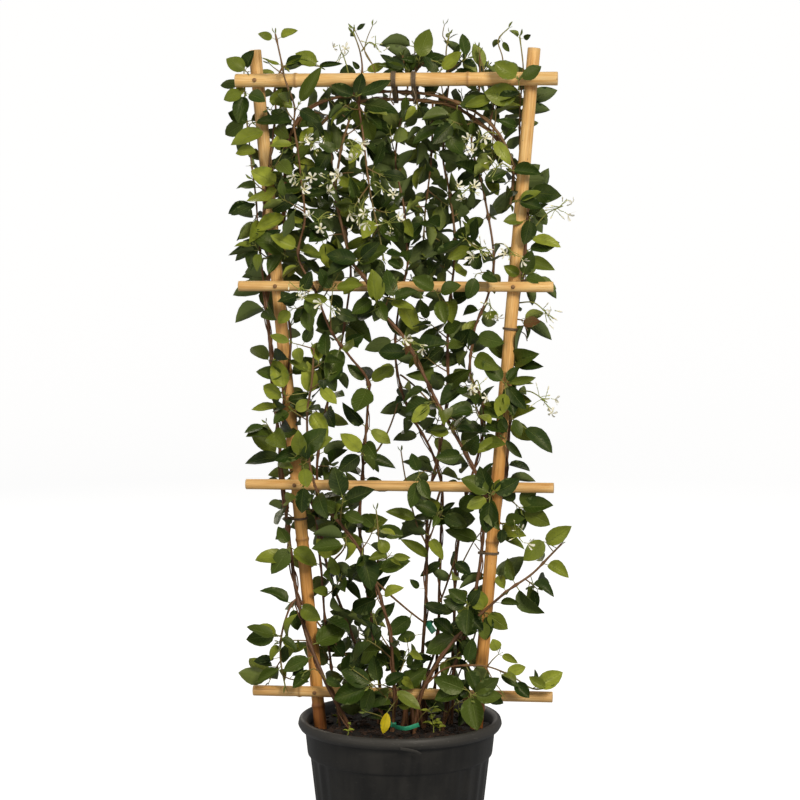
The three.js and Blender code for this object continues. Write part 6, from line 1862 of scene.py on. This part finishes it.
# (radius, distance behind the face of the head) of a nail
NAIL_PROFILE = [
    (0, -1.25), (1.2, -1.2), (2.1, -0.95), (2.55, -0.5), (2.6, -0.15), (2.4, 0), (1, 0), (1, 14),
    (0.6, 20), (0, 22.2),
]
NAIL_SIDES = 16


def nail_piece(hand, upright, rail):
    x, z = upright_x(upright, rail["z"]), rail["z"]
    face = rail_y(rail) - rail["radius"] - GAP
    deepest = -UPRIGHT_RADIUS + 7 - face
    rings = []
    for radius, depth in NAIL_PROFILE:
        centre, radii = vec(x, face + min(depth, deepest), z), np.full(NAIL_SIDES, max(radius, POINT))
        rings.append(ring_points(centre, vec(1, 0, 0), vec(0, 0, -1), radii))
    mesh = new_mesh("nail", np.concatenate(rings), tube_faces(len(rings), NAIL_SIDES))
    weld(mesh)
    node = f"nail_{rail['name'][5:]}_{hand}"
    keep(piece_of(f"{node}_domed", mesh, STEEL, sharp_degrees=40), "steel", node)


for hand, upright in UPRIGHTS.items():
    for rail in RAILS:
        nail_piece(hand, upright, rail)


def add_strip(points, faces, line, wide, thin):
    """Adds a closed strip of a flat six-sided section along a line."""
    first = len(points)
    turns = turns_of(6)
    for i, place in enumerate(line):
        along = unit(line[min(i + 1, len(line) - 1)] - line[max(i - 1, 0)])
        across = unit(np.cross(along, [0.1, 1, 0]))
        other = np.cross(along, across)
        points += [place + across * wide * math.cos(a) + other * thin * math.sin(a) for a in turns]
    faces += tube_faces(len(line), 6, first)
    last = len(points) - 6
    faces += [tuple(range(first + 5, first - 1, -1)), tuple(range(last, last + 6))]


TIE_POINTS = 56
STRAND_STEPS = 6  # across one strand
BAND_SLACK = 0.09


def tie_piece(band, width, strands, material, slot):
    """A flat band of one or more strands, drawn round canes and stems."""
    along = band["along"]
    side = unit(vec(0, 1, 0) - along * along[1])
    other = np.cross(along, side)
    section, steps = [], strands * STRAND_STEPS
    for i in range(steps + 1):
        v = i / steps
        bulge = abs(math.sin(math.pi * strands * v)) ** 0.5
        section.append((width * (v - 0.5), 0.25 + 0.75 * bulge))
    section += [(offset, 0.0) for offset, _ in reversed(section[1:-1])]
    rings = []
    for a in turns_of(TIE_POINTS):
        out = side * math.cos(a) + other * math.sin(a)
        centre, radius = max(band["rounds"], key=lambda r: float(r[0] @ out) + r[1])
        for offset, grow in section:
            reach = radius * (1 + BAND_SLACK) + GAP + grow
            rings.append(centre + out * reach + along * offset)
    count = len(section)
    faces = []
    for i in range(TIE_POINTS):
        a, b = i * count, (i + 1) % TIE_POINTS * count
        for j in range(count):
            k = (j + 1) % count
            faces.append((a + j, a + k, b + k, b + j))
    for path, wide, thin in TIE_ENDS.get(band["name"], []):
        add_strip(rings, faces, through(path, 4), wide, thin)
    mesh = new_mesh(band["name"], rings, faces)
    weld(mesh, 0.005)
    keep(piece_of(f"{band['name']}_band", mesh, material, sharp_degrees=60), slot, band["name"])


for band in bands:
    if "green" in band["name"]:
        tie_piece(band, 6, 1, TAPE, "green_tape")
    elif "arch" in band["name"]:
        tie_piece(band, 6, 3, TWINE_FIBRE, "tie")
    else:
        tie_piece(band, 3, 2, TWINE_FIBRE, "tie")


# ---------------------------------------------------------------- pot and soil
POT_SIDES = 192
FLUTES = 32
FLUTE_DEPTH = 1.5
FOOT = 61  # the flat middle of the foot and of the floor
PLAIN_HALF_ANGLE = 52
STEP_HEIGHT = 171
# (radius, height) of the pot's wall, outside from the middle of the foot up and then inside down
POT_PROFILE = [
    (0, 0), (60, 0), (92, 0), (94.2, 0.6), (95.2, 2.2), (98, 25), (101, 52), (104, 79), (107, 106),
    (110, 132), (112.6, 155), (114.3, 169), (114.9, 171.2), (116.6, 172.2), (117.6, 173.6),
    (118.1, 176), (119.4, 188), (120.6, 200), (121, 204.6), (121.5, 205.8), (123, 206.1),
    (126.4, 206.1), (127.3, 206.8), (129.4, 210.4), (129.9, 211.8), (129.2, 215.5),
    (128.4, 218), (127, 219.5), (125.2, 220), (123.6, 219.8), (122.2, 219.2), (119.6, 217),
    (118.6, 215.6), (117, 196), (115.6, 178.6), (114.6, 176.2), (112.6, 172.8), (111.8, 171),
    (106, 120), (98, 52), (92.8, 6), (91.6, 4.2), (88, 4), (60, 4), (0, 4),
]
DRAIN = {"count": 6, "radius": 6, "circle": 72, "from_to": (-4, 9)}
DRAIN_SIDES = 24
MOULD_FLASH = [[14, -128.8, 209], [24, -128.6, 207.5], [33, -127.8, 205.4], [39, -127.4, 202]]


def flute(angle, z):
    """How far the wall is drawn in at an angle round the pot: only below the step, at the sides."""
    from_front = math.degrees(abs(math.asin(math.cos(angle))))
    edge = min(max((from_front - (PLAIN_HALF_ANGLE - 15)) / 6, 0), 1)
    below = min(max((STEP_HEIGHT + 2 - z) / 3, 0), 1)
    groove = (0.5 - 0.5 * math.cos(angle * FLUTES)) ** 0.8
    return FLUTE_DEPTH * edge * below * groove if z > 1 else 0


def pot_piece():
    points = []
    for r, z in POT_PROFILE:
        for a in turns_of(POT_SIDES):
            q = max(r - (flute(a, z) if r > FOOT else 0), POINT)
            points.append([q * math.cos(a), q * math.sin(a), z])
    faces = tube_faces(len(POT_PROFILE), POT_SIDES)
    add_strip(points, faces, np.array(MOULD_FLASH, float), 1.9, 0.4)
    mesh = new_mesh("pot", points, faces)
    weld(mesh)
    pot = piece_of("nursery_pot", mesh, POT_PLASTIC, sharp_degrees=55)
    cutters, faces = [], []
    for i in range(DRAIN["count"]):
        a, first = math.tau * (i + 0.5) / DRAIN["count"], len(cutters) * DRAIN_SIDES
        centre = vec(DRAIN["circle"] * math.cos(a), DRAIN["circle"] * math.sin(a), 0)
        radii = np.full(DRAIN_SIDES, float(DRAIN["radius"]))
        for z in DRAIN["from_to"]:
            cutters.append(ring_points(centre + vec(0, 0, z), vec(1, 0, 0), vec(0, 1, 0), radii))
        faces += tube_faces(2, DRAIN_SIDES, first)
        low = range(first, first + DRAIN_SIDES)
        faces += [tuple(reversed(low)), tuple(k + DRAIN_SIDES for k in low)]
    cutter = placed("drain_holes", new_mesh("drain_holes", np.concatenate(cutters), faces))
    cut = pot.modifiers.new("drain", "BOOLEAN")
    cut.operation, cut.object, cut.solver = "DIFFERENCE", cutter, "EXACT"
    drained = evaluated(pot)
    pot.modifiers.clear()
    pot.data = drained
    bpy.data.objects.remove(cutter)
    return keep(pot, "pot_plastic", "pot")


pot_piece()

SOIL_SIDES = 96
SOIL_WALL = [(POINT, 4.3), (60, 4.3), (90.2, 4.3), (109.6, 172), (114.9, 183), (116.3, 202)]
SOIL_RINGS = (115.6, 113.6, *np.linspace(111, 3, 37), POINT)  # the radii of its upper side
CHIPS_TO = 0.108  # metres from the pot's axis


def soil_height(x, y):
    mound = 0.5 * math.cos(x / 23 + 1) * math.cos(y / 19) + 0.35 * math.sin(x / 11 - y / 13)
    low = SOIL_MOUND * mound
    lumps = 1.3 * noise.noise((x * 0.09, y * 0.09, 3)) + 0.8 * noise.noise((x * 0.3, y * 0.3, 9))
    return SOIL_TOP + low + lumps


def chip_shape(number):
    """A splinter of bark."""
    draw = Draws(SEEDS["chip"] + number)
    made = bmesh.new()
    bmesh.ops.create_icosphere(made, subdivisions=1, radius=1)
    flat, broad = draw(0.25, 0.5), draw(0.4, 0.8)
    for vert in made.verts:
        jog = draw(0.7, 1.2)
        vert.co = Vector((vert.co.x * jog, vert.co.y * jog * broad, vert.co.z * jog * flat))
    mesh = bpy.data.meshes.new(f"chip_{number}")
    made.to_mesh(mesh)
    made.free()
    return mesh


def potting_mix_tree():
    """Strews bark chips over the upper side of the soil."""
    inputs = [("Chips", "Collection", None), ("Chips a square metre", "Float", 9000.0)]
    inputs += [("Smallest", "Float", 0.001), ("Largest", "Float", 0.006), ("Seed", "Int", 4)]
    inputs += [("Soil", "Material", None), ("Bark", "Material", None)]
    tree, given = geometry_tree("potting mix", inputs)
    up = tree.parts(tree.out("GeometryNodeInputNormal"))["Z"]
    where = tree.out("GeometryNodeInputPosition")
    flat = tree.out("ShaderNodeVectorMath", {0: where, 1: (1, 1, 0)}, operation="MULTIPLY")
    off = tree.add("ShaderNodeVectorMath", {0: flat}, operation="LENGTH").outputs["Value"]
    chosen = tree.times(tree.math("GREATER_THAN", up, 0.5), tree.math("LESS_THAN", off, CHIPS_TO))
    spots = {"Mesh": given["Geometry"], "Selection": chosen, "Seed": given["Seed"]}
    spots["Density"] = given["Chips a square metre"]
    spots = tree.add("GeometryNodeDistributePointsOnFaces", spots).outputs["Points"]
    turn = {"Min": (-0.5, -0.5, 0), "Max": (0.5, 0.5, 6.28), "Seed": given["Seed"]}
    turn = tree.out("FunctionNodeRandomValue", turn, data_type="FLOAT_VECTOR")
    grade = tree.out("FunctionNodeRandomValue", {"Seed": 11}, data_type="FLOAT")
    span = tree.minus(given["Largest"], given["Smallest"])
    scale = tree.plus(given["Smallest"], tree.times(tree.math("POWER", grade, 3.0), span))
    laid = tree.strewn(spots, given["Chips"], {"Rotation": turn, "Scale": scale})
    both = [tree.finished(given["Geometry"], given["Soil"]), tree.finished(laid, given["Bark"])]
    return finish_tree(tree, tree.out("GeometryNodeJoinGeometry", {"Geometry": both}))


def soil_piece():
    rings = SOIL_WALL + [(r, None) for r in SOIL_RINGS]
    points = []
    for r, z in rings:
        for a in turns_of(SOIL_SIDES):
            x, y = r * math.cos(a), r * math.sin(a)
            points.append([x, y, soil_height(x, y) if z is None else z])
    mesh = new_mesh("soil", points, tube_faces(len(rings), SOIL_SIDES))
    weld(mesh)
    mesh.shade_smooth()
    chips = shape_store("chip", [chip_shape(i) for i in range(5)])
    for chip in chips.objects:
        chip.data.shade_flat()
    values = {"Chips": chips, "Chips a square metre": 30000.0, "Smallest": 0.001, "Largest": 0.0075}
    values.update({"Seed": 4, "Soil": SOIL, "Bark": CHIP})
    return keep(baked("potting_mix", mesh, potting_mix_tree(), values), "soil", "potting_soil")


soil_piece()

# Seedlings on the soil: place, height, leaf length and how many pairs.
SEEDLINGS = [
    ((46, -34), 30, 13, 3), ((53, -26), 18, 9, 2), ((-62, -52), 16, 8, 2), ((-84, 20), 20, 9, 2),
    ((70, 56), 22, 10, 2), ((10, 78), 14, 8, 2),
]


def seedling_piece():
    """Small fresh seedlings, each a thin stalk with crossed pairs of leaves."""
    draw = Draws(SEEDS["seedlings"])
    lines = Lines()
    for (x, y), tall, leaf, pairs in SEEDLINGS:
        foot = vec(x, y, SOIL_TOP - 2)
        lean = vec(draw(-5, 5), draw(-5, 3), tall)
        line = through([foot, foot + lean * 0.5 + vec(1.5, 0, 0), foot + lean], 4)
        lines.stem(line, np.linspace(0.8, 0.45, len(line)), np.full(len(line), 0.97))
        for k in range(pairs):
            spot = foot + lean * (0.45 + 0.54 * k / max(pairs - 1, 1))
            for hand in (1, -1):
                turn = 1.6 * k + draw(-0.3, 0.3)
                along = unit(vec(math.cos(turn) * hand, math.sin(turn) * hand, 0.45))
                normal = unit(vec(0, -0.3, 1) - along * np.dot(vec(0, -0.3, 1), along))
                reach = leaf * draw(0.8, 1.2)
                lines.seat(spot, along, normal, (reach, reach * 0.3, reach), 0.2, k, draw(0.55, 0.68))
    return keep(lines.piece("seedlings", LEAF_SHAPES, 5, LEAF, BARK), "plant")


seedling_piece()

# ---------------------------------------------------------------- camera, light and floor
CAMERA_PLACE, CAMERA_AIM = (0.2862, -2.723, 0.85), (0, 0, 0.6244)
CAMERA_LENS, SENSOR_WIDTH, FAR_CLIP = 98.0, 36, 50
LAMP_COLOUR = (1.0, 0.92, 0.80)
COVE = {"flat": 4500, "bend": 1500, "top": 4200}
COVE_SIDES = 64


def aimed(name, data, place, aim):
    """A camera or a lamp at a place, turned to look at another."""
    made = placed(name, data)
    made.location = place
    made.rotation_euler = (Vector(aim) - Vector(place)).to_track_quat("-Z", "Y").to_euler()
    return made


def add_camera():
    data = bpy.data.cameras.new("camera")
    data.lens, data.sensor_width, data.clip_end = CAMERA_LENS, SENSOR_WIDTH, FAR_CLIP
    bpy.context.scene.camera = aimed("camera", data, CAMERA_PLACE, CAMERA_AIM)


def add_softbox(name, place, aim, extent, watts):
    data = bpy.data.lights.new(name, "AREA")
    data.shape, data.size, data.size_y = "RECTANGLE", *extent
    data.energy, data.color = watts, LAMP_COLOUR
    aimed(name, data, place, aim)


def add_studio():
    world = bpy.data.worlds.new("studio")
    bpy.context.scene.world = world
    world.use_nodes = True
    background = world.node_tree.nodes["Background"]
    background.inputs["Color"].default_value = (1, 1, 1, 1)
    background.inputs["Strength"].default_value = 0.3
    cove, _, shader = new_material("studio_cove")
    shader.inputs["Base Color"].default_value = (0.5, 0.5, 0.5, 1)
    shader.inputs["Roughness"].default_value = 0.9
    shader.inputs["Specular IOR Level"].default_value = 0
    shader.inputs["Emission Color"].default_value = (1, 1, 1, 1)
    shader.inputs["Emission Strength"].default_value = 0.8
    flat, bend = COVE["flat"], COVE["bend"]
    rows = [(1, 0), (2500, 0), (flat, 0)]
    rows += [(flat + bend * math.sin(a), bend - bend * math.cos(a)) for a in np.linspace(0.2, 1.57, 8)]
    rows += [(flat + bend, COVE["top"])]
    points = [[r * math.cos(a), r * math.sin(a), z] for r, z in rows for a in turns_of(COVE_SIDES)]
    mesh = new_mesh("studio_cove", points, [f[::-1] for f in tube_faces(len(rows), COVE_SIDES)])
    weld(mesh, 3)
    floor = piece_of("studio_cove", mesh, cove)
    floor.visible_diffuse = floor.visible_glossy = floor.visible_shadow = False
    add_softbox("key_softbox", (1.5, -2.4, 2.3), (0, 0, 0.65), (1.0, 1.0), 74)
    add_softbox("fill_softbox", (-2.0, -2.2, 1.5), (0, 0, 0.6), (1.4, 1.8), 20)
    add_softbox("back_softbox", (-1.3, 2.5, 2.4), (0, 0, 0.6), (1.4, 1.2), 26)
    bpy.context.scene.view_settings.view_transform = "Standard"


add_camera()
add_studio()
